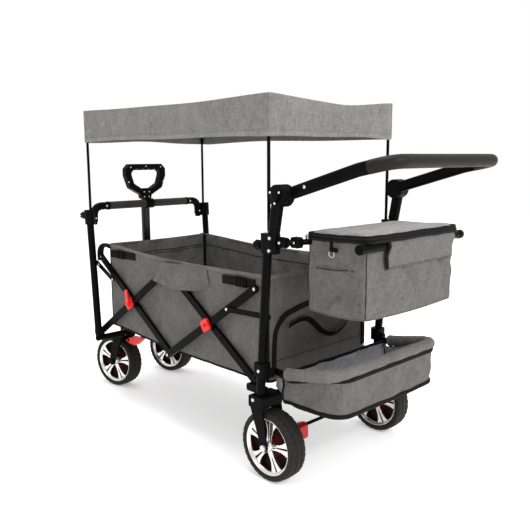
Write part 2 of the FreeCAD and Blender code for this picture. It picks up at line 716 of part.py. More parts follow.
def caster_lock():
    """The red foot lever behind the caster, on a pin through the crown's ears."""
    y = FRONT_WHEEL[1]
    outline = [(588, 204), (572, 211), (540, 213), (512, 221), (506, 216), (526, 199), (546, 182), (586, 190)]
    lever = plate_xz(outline, (y - 16, y + 16))
    return lever.fuse(pin_y(LOCK_PIN[0], LOCK_PIN[1], (y - 22, y + 22), 4.0)).removeSplitter()


def lock_ears():
    y = FRONT_WHEEL[1]
    ears = []
    for side in ((y + 17.0, y + 21.0), (y - 21.0, y - 17.0)):
        ear = lug(LOCK_PIN, (598.0, 207.0), 12.0, side)
        ears.append(ear.cut(pin_y(LOCK_PIN[0], LOCK_PIN[1], side, 4.0 + RUN)))
    return ears


def make_casters():
    fork = caster_fork()
    body = max(fork.Solids, key=lambda s: s.Volume)
    others = [s for s in fork.Solids if not s.isSame(body)]
    for ear in lock_ears():
        body = body.fuse(ear)
    fork = Part.makeCompound(body.Solids + others)
    for name, shape in (("fork", fork), ("lock", caster_lock())):
        save("left_caster_" + name, swivelled(shape, 1))
        save("right_caster_" + name, swivelled(mirrored(shape), -1))


# ---------------------------------------------------------------- pull handle


def handle_tube():
    """The outer tube, with the hole for its pivot pin at the foot."""
    x, y = (STEM_X - STEM_D / 2, STEM_X + STEM_D / 2), (-STEM_W / 2, STEM_W / 2)
    outer = rounded(box(x, y, (STEM_PIVOT_Z - 12, STEM_TOP_Z)), 6.0, ALONG_Z)
    hollow_x, hollow_y = (x[0] + 2, x[1] - 2), (y[0] + 2, y[1] - 2)
    hollow = rounded(box(hollow_x, hollow_y, (STEM_PIVOT_Z + 20, STEM_TOP_Z + 1)), 4.0, ALONG_Z)
    return outer.cut(hollow).cut(pin_y(STEM_X, STEM_PIVOT_Z, (-30, 30), 5.0 + RUN))


def handle_slider():
    x = (STEM_X - STEM_D / 2 + 2 + GAP, STEM_X + STEM_D / 2 - 2 - GAP)
    y = (-STEM_W / 2 + 2 + GAP, STEM_W / 2 - 2 - GAP)
    return rounded(box(x, y, (430.0, SLIDER_TOP_Z)), 3.6, ALONG_Z)


def grip_outline(points, x):
    """A face across the grip from (y, z) points of its left half, mirrored."""
    corners = [at(x, py, pz) for py, pz in points]
    corners += [at(x, -py, pz) for py, pz in reversed(points) if py > 0]
    return Part.Face(Part.makePolygon(corners + corners[:1]))


def handle_grip():
    """A D-shaped grip with finger grooves under its top bar."""
    depth = 26.0
    x, top, foot = STEM_X - depth / 2, GRIP_Z[1], STEM_TOP_Z + 1
    half = GRIP_W / 2
    outer = [(21, foot), (24, foot + 16), (half - 18, foot + 44), (half, foot + 92)]
    outer += [(half, top - 18), (half - 18, top)]
    inner = [(24, foot + 42), (half - 36, foot + 62), (half - 25, foot + 96)]
    inner += [(half - 25, top - 34), (half - 34, top - 24)]
    ring = grip_outline(outer, x).extrude(at(depth, 0, 0))
    ring = ring.cut(grip_outline(inner, x - 1).extrude(at(depth + 2, 0, 0)))
    ring = rounded(ring, 5.0, ALONG_X)
    for n in range(4):
        y = (n - 1.5) * 27.0
        ring = ring.cut(rod(at(x - 1, y, top - 25), at(x + depth + 1, y, top - 25), 9.0))
    room_x = (STEM_X - STEM_D / 2 + 2 + GAP, STEM_X + STEM_D / 2 - 2 - GAP)
    room_y = (-STEM_W / 2 + 2 + GAP, STEM_W / 2 - 2 - GAP)
    return ring.cut(rounded(box(room_x, room_y, (700.0, SLIDER_TOP_Z)), 3.6, ALONG_Z))


def make_handle():
    save("handle_tube", handle_tube())
    save("handle_slider", handle_slider())
    save("handle_grip", handle_grip())


# ---------------------------------------------------------------- scissor linkage


def scissor_point(column, row):
    """A pivot's (x, z): column 0 to 4 from the rear, row -1 low, 0 middle, 1 high."""
    z = SCISSOR_LOW_Z + SCISSOR_HALF_RISE * (1 + row)
    return SCISSOR_X + column * SCISSOR_QUARTER, z


def bar(start, end, layer, holes):
    shape = lug(start, end, BAR_H, layer)
    for hole in holes:
        shape = shape.cut(pin_y(hole[0], hole[1], (layer[0] - 1, layer[1] + 1), PIN_R + RUN))
    return shape


def bar_rear_low():
    """Inner bar from the rear lower pivot to the middle top, with two pins."""
    low, cross, high = scissor_point(0, -1), scissor_point(1, 0), scissor_point(2, 1)
    shape = bar(low, high, INNER_BAR_Y, [low])
    shape = shape.fuse(pin_y(cross[0], cross[1], (INNER_BAR_Y[0], OUTER_BAR_Y[1]), PIN_R))
    return shape.fuse(pin_y(high[0], high[1], (INNER_BAR_Y[0], OUTER_BAR_Y[1]), PIN_R - 0.5))


def bar_rear_high():
    """Outer bar from the rear top to the middle bottom, with the pin there."""
    high, cross, low = scissor_point(0, 1), scissor_point(1, 0), scissor_point(2, -1)
    shape = bar(high, low, OUTER_BAR_Y, [cross])
    return shape.fuse(pin_y(low[0], low[1], (INNER_BAR_Y[0], OUTER_BAR_Y[1]), PIN_R))


def bar_front_high():
    """Inner bar from the middle bottom to the front top, with the crossing's pin."""
    low, cross, high = scissor_point(2, -1), scissor_point(3, 0), scissor_point(4, 1)
    shape = bar(low, high, INNER_BAR_Y, [low])
    return shape.fuse(pin_y(cross[0], cross[1], (INNER_BAR_Y[0], OUTER_BAR_Y[1] + GAP), PIN_R))


def bar_front_low():
    """Outer bar from the middle top to the front lower pivot."""
    high, cross, low = scissor_point(2, 1), scissor_point(3, 0), scissor_point(4, -1)
    return bar(high, low, OUTER_BAR_Y, [high, cross, low])


def red_joint(column):
    """The square cap over a crossing, outside the outer bar."""
    x, z = scissor_point(column, 0)
    half, lean = 18.0, math.degrees(math.atan2(SCISSOR_HALF_RISE, SCISSOR_QUARTER))
    cap = box((x - half, x + half), (OUTER_BAR_Y[1] + GAP, 264.0), (z - half, z + half))
    cap = rounded(cap, 4.0, ALONG_Y)
    cap.rotate(at(x, 0, z), ALONG_Y, lean)
    stub = pin_y(x, z, (OUTER_BAR_Y[1] + GAP, 272.0), 5.0)
    return cap.fuse(stub)


def latch_tab():
    """The red lever that locks the front crossing."""
    x, z = scissor_point(3, 0)
    outline = [(x - 10, z - 10), (x + 10, z - 10), (x + 9, z + 18), (x + 15, z + 46), (x + 1, z + 52), (x - 8, z + 18)]
    tab = plate_xz(outline, (264.4, 270.4))
    return tab.cut(pin_y(x, z, (260, 280), 5.0 + RUN))


def link(ends):
    shape = lug(ends[0], ends[1], LINK_H, LINK_Y)
    return shape.cut(pin_y(ends[0][0], ends[0][1], (LINK_Y[0] - 1, LINK_Y[1] + 1), PIN_R + RUN))


def make_scissor():
    save("bar_rear_low", pair(bar_rear_low()))
    save("bar_rear_high", pair(bar_rear_high()))
    save("bar_front_high", pair(bar_front_high()))
    save("bar_front_low", pair(bar_front_low()))
    save("rear_red_joints", pair(red_joint(1)))
    save("front_red_joints", pair(red_joint(3)))
    save("left_latch_tab", latch_tab())
    save("right_latch_tab", mirrored(latch_tab()))
    save("rear_links", pair(link(REAR_LINK)))
    save("front_links", pair(link(FRONT_LINK)))


# ---------------------------------------------------------------- canopy


def canopy():
    """The roof and its four hanging sides, open underneath."""
    low, high, corner = CANOPY_Z[0], CANOPY_Z[1], CANOPY_CORNER_Z
    walls = box(CANOPY_X, (-CANOPY_Y, CANOPY_Y), (low, corner))
    inner_x = (CANOPY_X[0] + 3, CANOPY_X[1] - 3)
    inner_y = (-CANOPY_Y + 3, CANOPY_Y - 3)
    walls = walls.cut(box(inner_x, inner_y, (low - 1, corner - 4)))
    crown = box((CANOPY_X[0] + 90, CANOPY_X[1] - 90), (-CANOPY_Y + 70, CANOPY_Y - 70), (corner, high))
    return walls.fuse(crown).removeSplitter()


def canopy_rod(x, foot_z):
    return rod(at(x, ROD_Y, foot_z), at(x, ROD_Y, ROD_TOP_Z), ROD_R)


def make_canopy():
    save("canopy", canopy())
    save("rear_canopy_rods", pair(canopy_rod(ROD_X[0], 659.0)))
    save("front_canopy_rods", pair(canopy_rod(ROD_X[1], 701.0)))


# ---------------------------------------------------------------- clamp knobs


def knob(face_x, z):
    """A star knob along X with its stud."""
    body = rod(at(face_x + 4, POST_Y, z), at(face_x + 28, POST_Y, z), 14.0)
    for n in range(6):
        angle = math.radians(60 * n)
        y, dz = POST_Y + 15.5 * math.cos(angle), z + 15.5 * math.sin(angle)
        body = body.cut(rod(at(face_x, y, dz), at(face_x + 30, y, dz), 4.0))
    return body.fuse(rod(at(face_x - 3, POST_Y, z), at(face_x + 6, POST_Y, z), 3.0))


def make_knobs():
    for end, face_x, z in (("rear", REAR_CLAMP_X[1], REAR_KNOB_Z), ("front", FRONT_CLAMP_X[1], FRONT_KNOB_Z)):
        save(end + "_left_knob", knob(face_x, z))
        save(end + "_right_knob", mirrored(knob(face_x, z)))


os.makedirs("parts", exist_ok=True)
make_wheels()
make_rear_frame()
make_push_bar()
make_tray()
make_brake()
make_front_frame()
make_casters()
make_handle()
make_scissor()
make_canopy()
make_knobs()
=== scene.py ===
"""The looks of a folding pull wagon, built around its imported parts.

Sizes are millimetres in the part's own frame: +X forward, +Y the wagon's left, +Z up.
Meshes are written in metres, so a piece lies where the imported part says.
"""
import math
from collections import namedtuple

import bmesh
import bpy
from mathutils import Matrix, Vector, noise


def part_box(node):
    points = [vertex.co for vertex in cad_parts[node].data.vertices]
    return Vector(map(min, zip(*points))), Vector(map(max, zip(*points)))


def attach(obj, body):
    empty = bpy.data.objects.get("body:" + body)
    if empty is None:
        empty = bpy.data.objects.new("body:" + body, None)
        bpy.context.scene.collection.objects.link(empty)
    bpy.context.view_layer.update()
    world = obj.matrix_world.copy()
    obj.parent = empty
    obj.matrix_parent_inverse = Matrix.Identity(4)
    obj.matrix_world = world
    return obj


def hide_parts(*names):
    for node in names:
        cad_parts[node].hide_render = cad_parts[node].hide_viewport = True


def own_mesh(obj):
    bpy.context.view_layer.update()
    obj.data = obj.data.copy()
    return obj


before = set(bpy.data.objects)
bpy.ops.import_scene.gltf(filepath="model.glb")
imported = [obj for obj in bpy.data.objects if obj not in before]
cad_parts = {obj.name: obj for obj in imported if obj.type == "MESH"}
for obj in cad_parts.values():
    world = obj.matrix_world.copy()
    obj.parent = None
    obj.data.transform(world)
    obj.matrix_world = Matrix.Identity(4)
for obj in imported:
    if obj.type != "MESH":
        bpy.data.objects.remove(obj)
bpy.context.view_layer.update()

MM = 0.001
FORWARD, LEFT, UP = Vector((1, 0, 0)), Vector((0, 1, 0)), Vector((0, 0, 1))
SIDES = ((1, "left"), (-1, "right"))

# how far the front frame travels back as the wagon folds, and where the linkage starts
LINKAGE_X = (-279.0, 585.0)
LINKAGE_Z = (257.0, 402.0, 547.0)
OUTER_BAR_FACE, LINK_FACE = 255.0, 261.0
BAG_SWELL = 8.5
REAR_POST_TOP = (-357.0, 680.0)

# wheels: the casters stand a little turned
TYRE_W = 62.0
CASTER_TURN = math.radians(12.0)
KINGPIN = (613.0, 131.0)

# cloth and trim
CLOTH, TUB_CLOTH = 1.6, 3.0
HEM_H, SEAM_R = 12.0, 1.1

Spot = namedtuple("Spot", "x y side share out")


def box_mm(node):
    """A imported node's lowest and highest corners, in millimetres."""
    low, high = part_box(node)
    return low / MM, high / MM


# ---------------------------------------------------------------- mesh helpers


def add_object(name, data):
    made = bpy.data.objects.new(name, data)
    bpy.context.scene.collection.objects.link(made)
    return made


def new_piece(name, points, faces, materials, smooth=True):
    """A mesh object from points in millimetres."""
    mesh = bpy.data.meshes.new(name)
    mesh.from_pydata([tuple(p * MM) for p in points], [], faces)
    mesh.validate()
    for material in materials if isinstance(materials, list) else [materials]:
        mesh.materials.append(material)
    tidy = bmesh.new()
    tidy.from_mesh(mesh)
    bmesh.ops.recalc_face_normals(tidy, faces=tidy.faces)
    tidy.to_mesh(mesh)
    tidy.free()
    if smooth:
        mesh.shade_smooth()
    return add_object(name, mesh)


def row_faces(rows, columns, around, first=0):
    """Quads between rows of points. The last column meets the first when it goes around."""
    faces = []
    for r in range(rows - 1):
        here = first + r * columns
        for c in range(columns if around else columns - 1):
            on = (c + 1) % columns
            faces.append((here + c, here + on, here + columns + on, here + columns + c))
    return faces


def skin(name, rows, materials, around=True, caps=False):
    """A surface through rows of points."""
    columns = len(rows[0])
    faces = row_faces(len(rows), columns, around)
    if caps:
        faces.append(tuple(reversed(range(columns))))
        faces.append(tuple(range((len(rows) - 1) * columns, len(rows) * columns)))
    return new_piece(name, [p for row in rows for p in row], faces, materials)


def merged(name, pieces):
    """One object from several, with one material each, kept in order."""
    whole, materials = bmesh.new(), []
    for piece in pieces:
        start = len(whole.faces)
        whole.from_mesh(piece.data)
        whole.faces.ensure_lookup_table()
        for face in whole.faces[start:]:
            material = piece.data.materials[face.material_index]
            if material not in materials:
                materials.append(material)
            face.material_index = materials.index(material)
    mesh = bpy.data.meshes.new(name)
    whole.to_mesh(mesh)
    whole.free()
    for material in materials:
        mesh.materials.append(material)
    for piece in pieces:
        bpy.data.objects.remove(piece)
    return add_object(name, mesh)


def twin(piece, name):
    """The same piece on the other side of the wagon."""
    mesh = piece.data.copy()
    mesh.transform(Matrix.Scale(-1, 4, LEFT))
    mesh.flip_normals()
    other = add_object(name, mesh)
    for modifier in piece.modifiers:
        copy_modifier(modifier, other)
    return other


def copy_modifier(modifier, other):
    made = other.modifiers.new(modifier.name, modifier.type)
    for prop in modifier.bl_rna.properties:
        if not prop.is_readonly and prop.identifier not in ("name", "type"):
            setattr(made, prop.identifier, getattr(modifier, prop.identifier))


def thicken(piece, thickness, inner_slot=0):
    """Gives a sheet its thickness, inwards, with another material inside where asked."""
    made = piece.modifiers.new("thickness", "SOLIDIFY")
    made.thickness = thickness * MM
    made.offset = -1
    made.material_offset = inner_slot
    return piece


def subdivide(piece, levels=1):
    made = piece.modifiers.new("smooth", "SUBSURF")
    made.levels = levels
    made.render_levels = levels
    return piece


def soften(piece, width, segments=2, angle=38.0):
    """Rounds the piece's sharp edges."""
    made = piece.modifiers.new("round_edges", "BEVEL")
    made.width = width * MM
    made.segments = segments
    made.limit_method = "ANGLE"
    made.angle_limit = math.radians(angle)
    return piece


def smooth_path(points, steps=6, closed=False):
    """A smooth line through given points."""
    count = len(points)
    path = []
    for n in range(count if closed else count - 1):
        near = [points[(n + k) % count] if closed else points[min(max(n + k, 0), count - 1)]
                for k in (-1, 0, 1, 2)]
        for k in range(steps):
            t = k / steps
            rise = near[2] - near[0]
            bend = 2 * near[0] - 5 * near[1] + 4 * near[2] - near[3]
            twist = 3 * near[1] - near[0] - 3 * near[2] + near[3]
            path.append(0.5 * (2 * near[1] + rise * t + bend * t * t + twist * t ** 3))
    return path if closed else path + [points[-1].copy()]


def rounded_path(points, radius, steps=8, run_steps=10):
    """Straight runs with a smooth bend at each corner."""
    path = [points[0].copy()]
    for n in range(1, len(points) - 1):
        corner = points[n]
        first = corner + (points[n - 1] - corner).normalized() * radius
        last = corner + (points[n + 1] - corner).normalized() * radius
        start = path[-1].copy()
        path += [start.lerp(first, k / run_steps) for k in range(1, run_steps)]
        for k in range(steps + 1):
            t = k / steps
            path.append(first * (1 - t) ** 2 + corner * 2 * t * (1 - t) + last * t * t)
    start = path[-1].copy()
    path += [start.lerp(points[-1], k / run_steps) for k in range(1, run_steps + 1)]
    return path


def oval(half_w, half_h=None, sides=12):
    """A round or oval outline, across and up."""
    half_h = half_w if half_h is None else half_h
    turns = [2 * math.pi * k / sides for k in range(sides)]
    return [(half_w * math.cos(a), half_h * math.sin(a)) for a in turns]


def band(width, thickness):
    """A flat outline with soft edges: thickness across, width up."""
    w, t = width / 2, thickness / 2
    return [(t, w * 0.9), (t * 0.4, w), (-t * 0.4, w), (-t, w * 0.9), (-t, -w * 0.9), (-t * 0.4, -w),
            (t * 0.4, -w), (t, -w * 0.9)]


def weld_points(piece):
    """Joins points that lie on each other, as where a loop closes."""
    shape = bmesh.new()
    shape.from_mesh(piece.data)
    bmesh.ops.remove_doubles(shape, verts=shape.verts, dist=MM / 100)
    bmesh.ops.recalc_face_normals(shape, faces=shape.faces)
    shape.to_mesh(piece.data)
    shape.free()
    return piece


def sweep(name, path, outline, material, up=UP, closed=False, swell=None):
    """Carries an outline along a path. swell(n) scales it at each point."""
    count, rows = len(path), []
    side = None
    for n, here in enumerate(path):
        ahead = path[(n + 1) % count] if closed else path[min(n + 1, count - 1)]
        behind = path[n - 1] if closed or n else path[0]
        run = (ahead - behind).normalized()
        side = run.cross(up) if side is None else side - run * side.dot(run)
        side.normalize()
        top = side.cross(run)
        size = swell(n) if swell else 1.0
        rows.append([here + (side * a + top * b) * size for a, b in outline])
    if closed:
        rows.append(rows[0])
    return weld_points(skin(name, rows, material, caps=not closed))


def lathe(name, profile, centre, axis, materials, steps=48, closed=True):
    """Turns (radius, along) points about an axis through a centre."""
    side = axis.orthogonal().normalized()
    other = axis.cross(side)
    rows = []
    for k in range(steps):
        turn = 2 * math.pi * k / steps
        spoke = side * math.cos(turn) + other * math.sin(turn)
        rows.append([centre + spoke * r + axis * d for r, d in profile])
    columns = len(profile)
    points = [p for row in rows for p in row]
    faces = []
    for k in range(steps):
        here, on = k * columns, (k + 1) % steps * columns
        for c in range(columns if closed else columns - 1):
            nxt = (c + 1) % columns
            faces.append((here + c, on + c, on + nxt, here + nxt))
    return new_piece(name, points, faces, materials)


def plate(name, outline, thickness, place, across, up, material):
    """A flat plate with an outline of (across, up) points, thick along their cross product."""
    normal = across.cross(up)
    front = [place + across * a + up * b + normal * (thickness / 2) for a, b in outline]
    back = [p - normal * thickness for p in front]
    count = len(outline)
    faces = [tuple(range(count)), tuple(reversed(range(count, 2 * count)))]
    faces += [(k, k + count, (k + 1) % count + count, (k + 1) % count) for k in range(count)]
    return new_piece(name, front + back, faces, material, smooth=False)


def rounded_box(name, centre, size, radius, material):
    """A block with rounded edges."""
    half = size / 2
    outline = [(-half.x, -half.y), (half.x, -half.y), (half.x, half.y), (-half.x, half.y)]
    block = plate(name, outline, size.z, centre, FORWARD, LEFT, material)
    shape = bmesh.new()
    shape.from_mesh(block.data)
    bmesh.ops.bevel(shape, geom=shape.edges[:], offset=radius * MM, segments=3, affect="EDGES", profile=0.5)
    shape.to_mesh(block.data)
    shape.free()
    block.data.shade_smooth()
    return block


def domes(name, spots, axis, radius, height, material):
    """Rivet or screw heads at several points, one mesh."""
    profile = [(radius, 0.0), (radius, height * 0.35), (radius * 0.8, height * 0.8), (radius * 0.35, height)]
    profile += [(0.05, height), (0.05, 0.0)]
    heads = [lathe(name, profile, spot, axis, material, 16) for spot in spots]
    return merged(name, heads)


def both_sides(spots):
    return [s for spot in spots for s in (spot, Vector((spot.x, -spot.y, spot.z)))]


def side_domes(name, spots, radius, height, material, body):
    """Heads that face outwards on both sides of the wagon."""
    near = domes(name, spots, LEFT, radius, height, material)
    far = twin(near, name + "_far")
    return finish_piece(merged(name, [near, far]), body)


def stitches(name, path, material, pitch=7.0, dash=4.2, radius=0.55):
    """A row of short threads along a path."""
    points, faces = [], []
    travelled, due = 0.0, 0.0
    for a, b in zip(path, path[1:]):
        run = b - a
        length = run.length
        if length < 1e-6:
            continue
        along = run / length
        side = along.orthogonal().normalized() * radius
        other = along.cross(side)
        while due < travelled + length:
            start = a + along * (due - travelled)
            first = len(points)
            for centre in (start, start + along * dash):
                points += [centre + side, centre + other, centre - side, centre - other]
            faces += row_faces(2, 4, True, first)
            faces += [(first + 3, first + 2, first + 1, first), (first + 4, first + 5, first + 6, first + 7)]
            due += pitch
        travelled += length
    return new_piece(name, points, faces, material)


def finish_piece(piece, body, replaces=(), fold=None):
    """Says what a piece moves with and stands for. fold is (anchor x, span); only whether one is given
    counts: then the piece gets a mesh of its own.
    """
    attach(piece, body)
    if replaces:
        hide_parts(*replaces)
    if fold:
        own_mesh(piece)
    return piece


def finish_all(pieces, body, fold=None):
    for piece in pieces:
        finish_piece(piece, body, (), fold)


def rounded_loop(x, y, radii, side_steps=24, corner_steps=5):
    """Spots round a rectangle: front-left corner, left side, rear, right side, front."""
    loop = []
    for n in range(4):
        radius = radii[n]
        sx, sy = (1, -1, -1, 1)[n], (1, 1, -1, -1)[n]
        centre_x = (x[1] if sx > 0 else x[0]) - sx * radius
        centre_y = (y[1] if sy > 0 else y[0]) - sy * radius
        for k in range(corner_steps + 1):
            turn = math.radians(90 * n + 90 * k / corner_steps)
            out = Vector((math.cos(turn), math.sin(turn), 0))
            loop.append(Spot(centre_x + radius * out.x, centre_y + radius * out.y, n, 0.0, out))
        after = radii[(n + 1) % 4]
        start = loop[-1]
        ends = ((x[0] + after, y[1]), (x[0], y[0] + after), (x[1] - after, y[0]), (x[1], y[1] - after))[n]
        for k in range(1, side_steps):
            t = k / side_steps
            loop.append(Spot(start.x + (ends[0] - start.x) * t, start.y + (ends[1] - start.y) * t, n, t,
                             start.out))
    return loop


def corner_spot(loop, n, along=2):
    """A spot on the loop's corner n, a few steps along it."""
    return loop[n * len(loop) // 4 + along]


def drawn_in(s, middle, inward):
    """A spot's x and y, drawn in towards the middle. At 1 it stays where it is."""
    return middle.x + (s.x - middle.x) * inward, middle.y + (s.y - middle.y) * inward


def ripple(p, across, along, amount, seed=0.0):
    """Soft uneven folds that run along one slant."""
    slant = Vector(((p.x + p.y + p.z) / across, (p.x + p.y - p.z) / along, seed))
    other = Vector(((p.x + p.y - p.z) / across, (p.x + p.y + p.z) / along, seed + 7.3))
    return amount * (noise.noise(slant) + noise.noise(other))


def fan(across, up, folds, reach, amount):
    """Creases that spread from one point and fade with distance."""
    far = math.hypot(across, up)
    fade = ease(far / (0.25 * reach)) * ease(1.3 - far / reach)
    return amount * math.sin(math.atan2(up, across) * folds) * fade


def hump(t):
    """0 at both ends of a side and 1 at its middle."""
    return math.sin(math.pi * t)


def ease(t):
    t = min(max(t, 0.0), 1.0)
    return t * t * (3 - 2 * t)


# ---------------------------------------------------------------- materials


def add_node(tree, kind, links=(), **values):
    """A shader node with its values set, and links given as (input name, output socket)."""
    made = tree.nodes.new(kind)
    for name, value in values.items():
        made.inputs[name.replace("_", " ")].default_value = value
    for name, source in links:
        tree.links.new(source, made.inputs[name])
    return made


def stretched_noise(tree, scale, detail=2.0):
    """Noise with its own scale on each axis, in the wagon's frame."""
    place = tree.nodes.new("ShaderNodeTexCoord").outputs["Object"]
    mapped = add_node(tree, "ShaderNodeMapping", [("Vector", place)], Scale=scale)
    made = add_node(tree, "ShaderNodeTexNoise", [("Vector", mapped.outputs[0])], Scale=1.0, Detail=detail,
                    Roughness=0.6)
    return made.outputs["Fac"]


def blended(tree, first, second, share=0.5):
    """The mean of two sockets."""
    mix = tree.nodes.new("ShaderNodeMix")
    mix.inputs[0].default_value = share
    tree.links.new(first, mix.inputs[2])
    tree.links.new(second, mix.inputs[3])
    return mix.outputs[0]


def ramp(tree, source, stops):
    made = tree.nodes.new("ShaderNodeValToRGB")
    tree.links.new(source, made.inputs[0])
    elements = made.color_ramp.elements
    while len(elements) < len(stops):
        elements.new(0.5)
    for element, (place, colour) in zip(elements, stops):
        element.position = place
        element.color = (*colour, 1)
    return made.outputs[0]


def bumped(tree, shader, height, strength, distance):
    made = add_node(tree, "ShaderNodeBump", [("Height", height)], Strength=strength, Distance=distance * MM)
    tree.links.new(made.outputs[0], shader.inputs["Normal"])


def blank(name, **sockets):
    """A new material, its tree and its shader, with the shader's constants set."""
    material = bpy.data.materials.new(name)
    material.use_nodes = True
    tree = material.node_tree
    shader = tree.nodes["Principled BSDF"]
    for socket, value in sockets.items():
        shader.inputs[socket.replace("_", " ")].default_value = value
    return material, tree, shader


def fabric(name, tone, tint=(1.05, 1.0, 0.955)):
    """Heather cloth: light and dark threads both ways, slubs, and a fine weave."""
    material, tree, shader = blank(name, Roughness=0.94, Specular_IOR_Level=0.15, Sheen_Weight=0.05,
                                   Sheen_Roughness=0.5)
    warp = stretched_noise(tree, (330, 330, 42), 4)
    weft = stretched_noise(tree, (48, 48, 300), 4)
    threads = blended(tree, warp, weft, 0.42)
    cloudy = stretched_noise(tree, (18, 18, 11), 4)
    mixed = blended(tree, threads, cloudy, 0.22)
    shares = ((0.34, 0.60), (0.5, 1.0), (0.66, 1.45))
    stops = [(place, tuple(tone * share * t for t in tint)) for place, share in shares]
    tree.links.new(ramp(tree, mixed, stops), shader.inputs["Base Color"])
    bumped(tree, shader, threads, 0.3, 0.6)
    return material


def moulded(name, colour, roughness, grain=1100.0, depth=0.12, worn=1.35, **sockets):
    """Plastic or paint with a fine grain and a slight change of tone and gloss."""
    sockets.setdefault("Specular_IOR_Level", 0.035)
    material, tree, shader = blank(name, **sockets)
    patchy = stretched_noise(tree, (22, 22, 22), 4)
    lighter = tuple(c * worn for c in colour)
    tree.links.new(ramp(tree, patchy, [(0.35, colour), (0.7, lighter)]), shader.inputs["Base Color"])
    gloss = ramp(tree, patchy, [(0.3, (roughness * 0.85,) * 3), (0.7, (min(roughness * 1.15, 1),) * 3)])
    tree.links.new(gloss, shader.inputs["Roughness"])
    bumped(tree, shader, stretched_noise(tree, (grain,) * 3, 2), depth, 0.3)
    return material


def webbing(name, colour, pitch):
    """Woven tape: ribs across each other."""
    material, tree, shader = blank(name, Roughness=0.8, Specular_IOR_Level=0.1)
    place = tree.nodes.new("ShaderNodeTexCoord").outputs["Object"]
    ribs = add_node(tree, "ShaderNodeTexWave", [("Vector", place)], Scale=0.314 / (pitch * MM),
                    Distortion=0.6)
    ribs.bands_direction = "DIAGONAL"
    thread = stretched_noise(tree, (500, 500, 500), 2)
    tone = blended(tree, ribs.outputs["Fac"], thread, 0.5)
    tree.links.new(ramp(tree, tone, [(0.2, colour), (0.8, tuple(c * 2.0 for c in colour))]),
                   shader.inputs["Base Color"])
    bumped(tree, shader, tone, 0.6, 0.6)
    return material


def brushed(name, colour, roughness, metallic):
    """Bright metal with faint rings of polish."""
    material, tree, shader = blank(name, Metallic=metallic)
    streaks = stretched_noise(tree, (90, 900, 90), 3)
    tree.links.new(ramp(tree, streaks, [(0.3, tuple(c * 0.9 for c in colour)), (0.7, colour)]),
                   shader.inputs["Base Color"])
    gloss = ramp(tree, streaks, [(0.3, (roughness,) * 3), (0.75, (roughness * 1.6,) * 3)])
    tree.links.new(gloss, shader.inputs["Roughness"])
    bumped(tree, shader, streaks, 0.05, 0.2)
    return material


def make_materials():
    look = {}
    # heather_fabric's low tone is partly painted shade: it is set darker to stand in for the shade that falls
    # on the tub's walls
    look["fabric"] = fabric("heather_fabric", 0.096)
    # canopy_fabric_painted_light is the same cloth as heather_fabric, made lighter as painted light for the
    # brighter-lit canopy; canopy_hem_fabric_painted_light carries the same painted light on top of the hem's
    # own lighter tone
    look["canopy"] = fabric("canopy_fabric_painted_light", 0.156)
    look["canopy_hem"] = fabric("canopy_hem_fabric_painted_light", 0.178, (1.0, 1.0, 0.99))
    look["sleeve"] = fabric("sleeve_fabric", 0.106)
    look["hem"] = fabric("hem_fabric", 0.112)
    look["lid"] = fabric("lid_fabric", 0.18)
    look["inner"] = fabric("inner_fabric", 0.125, (1.02, 1.0, 0.98))
    look["tray_inner"] = fabric("tray_inner_fabric", 0.235, (0.99, 1.0, 1.06))
    look["seam"] = moulded("seam_thread", (0.022, 0.021, 0.020), 0.9)
    look["thread"] = moulded("light_thread", (0.19, 0.185, 0.18), 0.8)
    look["tape"] = webbing("black_webbing", (0.0028, 0.0028, 0.0028), 2.2)
    look["binding"] = webbing("black_binding", (0.0036, 0.0036, 0.0036), 1.4)
    look["zip"] = webbing("zip_tape", (0.0060, 0.0060, 0.0060), 3.0)
    look["steel_black"] = moulded("powder_coat", (0.0018, 0.0018, 0.0018), 0.30, 700.0, 0.05)
    look["stem"] = moulded("gloss_coat", (0.0024, 0.0024, 0.0024), 0.2, 500.0, 0.03, Specular_IOR_Level=0.3)
    look["plastic_black"] = moulded("black_plastic", (0.0028, 0.0028, 0.0028), 0.40, 1300.0, 0.12)
    look["foam_black"] = moulded("foam", (0.010, 0.0088, 0.0080), 0.5, 800.0, 0.2, Specular_IOR_Level=0.12)
    look["front_foam"] = moulded("front_foam", (0.040, 0.036, 0.032), 0.6, 800.0, 0.3,
                                 Specular_IOR_Level=0.15)
    look["rim_silver"] = brushed("bright_rim", (0.74, 0.73, 0.71), 0.16, 0.97)
    look["dark_rim"] = moulded("dark_barrel", (0.016, 0.0055, 0.0050), 0.5)
    look["tyre_black"] = moulded("tyre_rubber", (0.0115, 0.0110, 0.0100), 0.6, 420.0, 0.3,
                                 Specular_IOR_Level=0.12)
    look["zinc"] = brushed("zinc_plate", (0.62, 0.62, 0.61), 0.3, 0.85)
    look["red_plastic"] = moulded("red_plastic", (0.62, 0.010, 0.008), 0.34, 900.0, 0.08, 1.15,
                                  Specular_IOR_Level=0.35)
    look["pedal_red"] = moulded("pedal_red", (0.46, 0.006, 0.008), 0.4, 900.0, 0.1, 1.15,
                                Specular_IOR_Level=0.3)
    look["dark_red"] = moulded("dark_red_web", (0.075, 0.006, 0.006), 0.42)
    return look


# ---------------------------------------------------------------- canopy


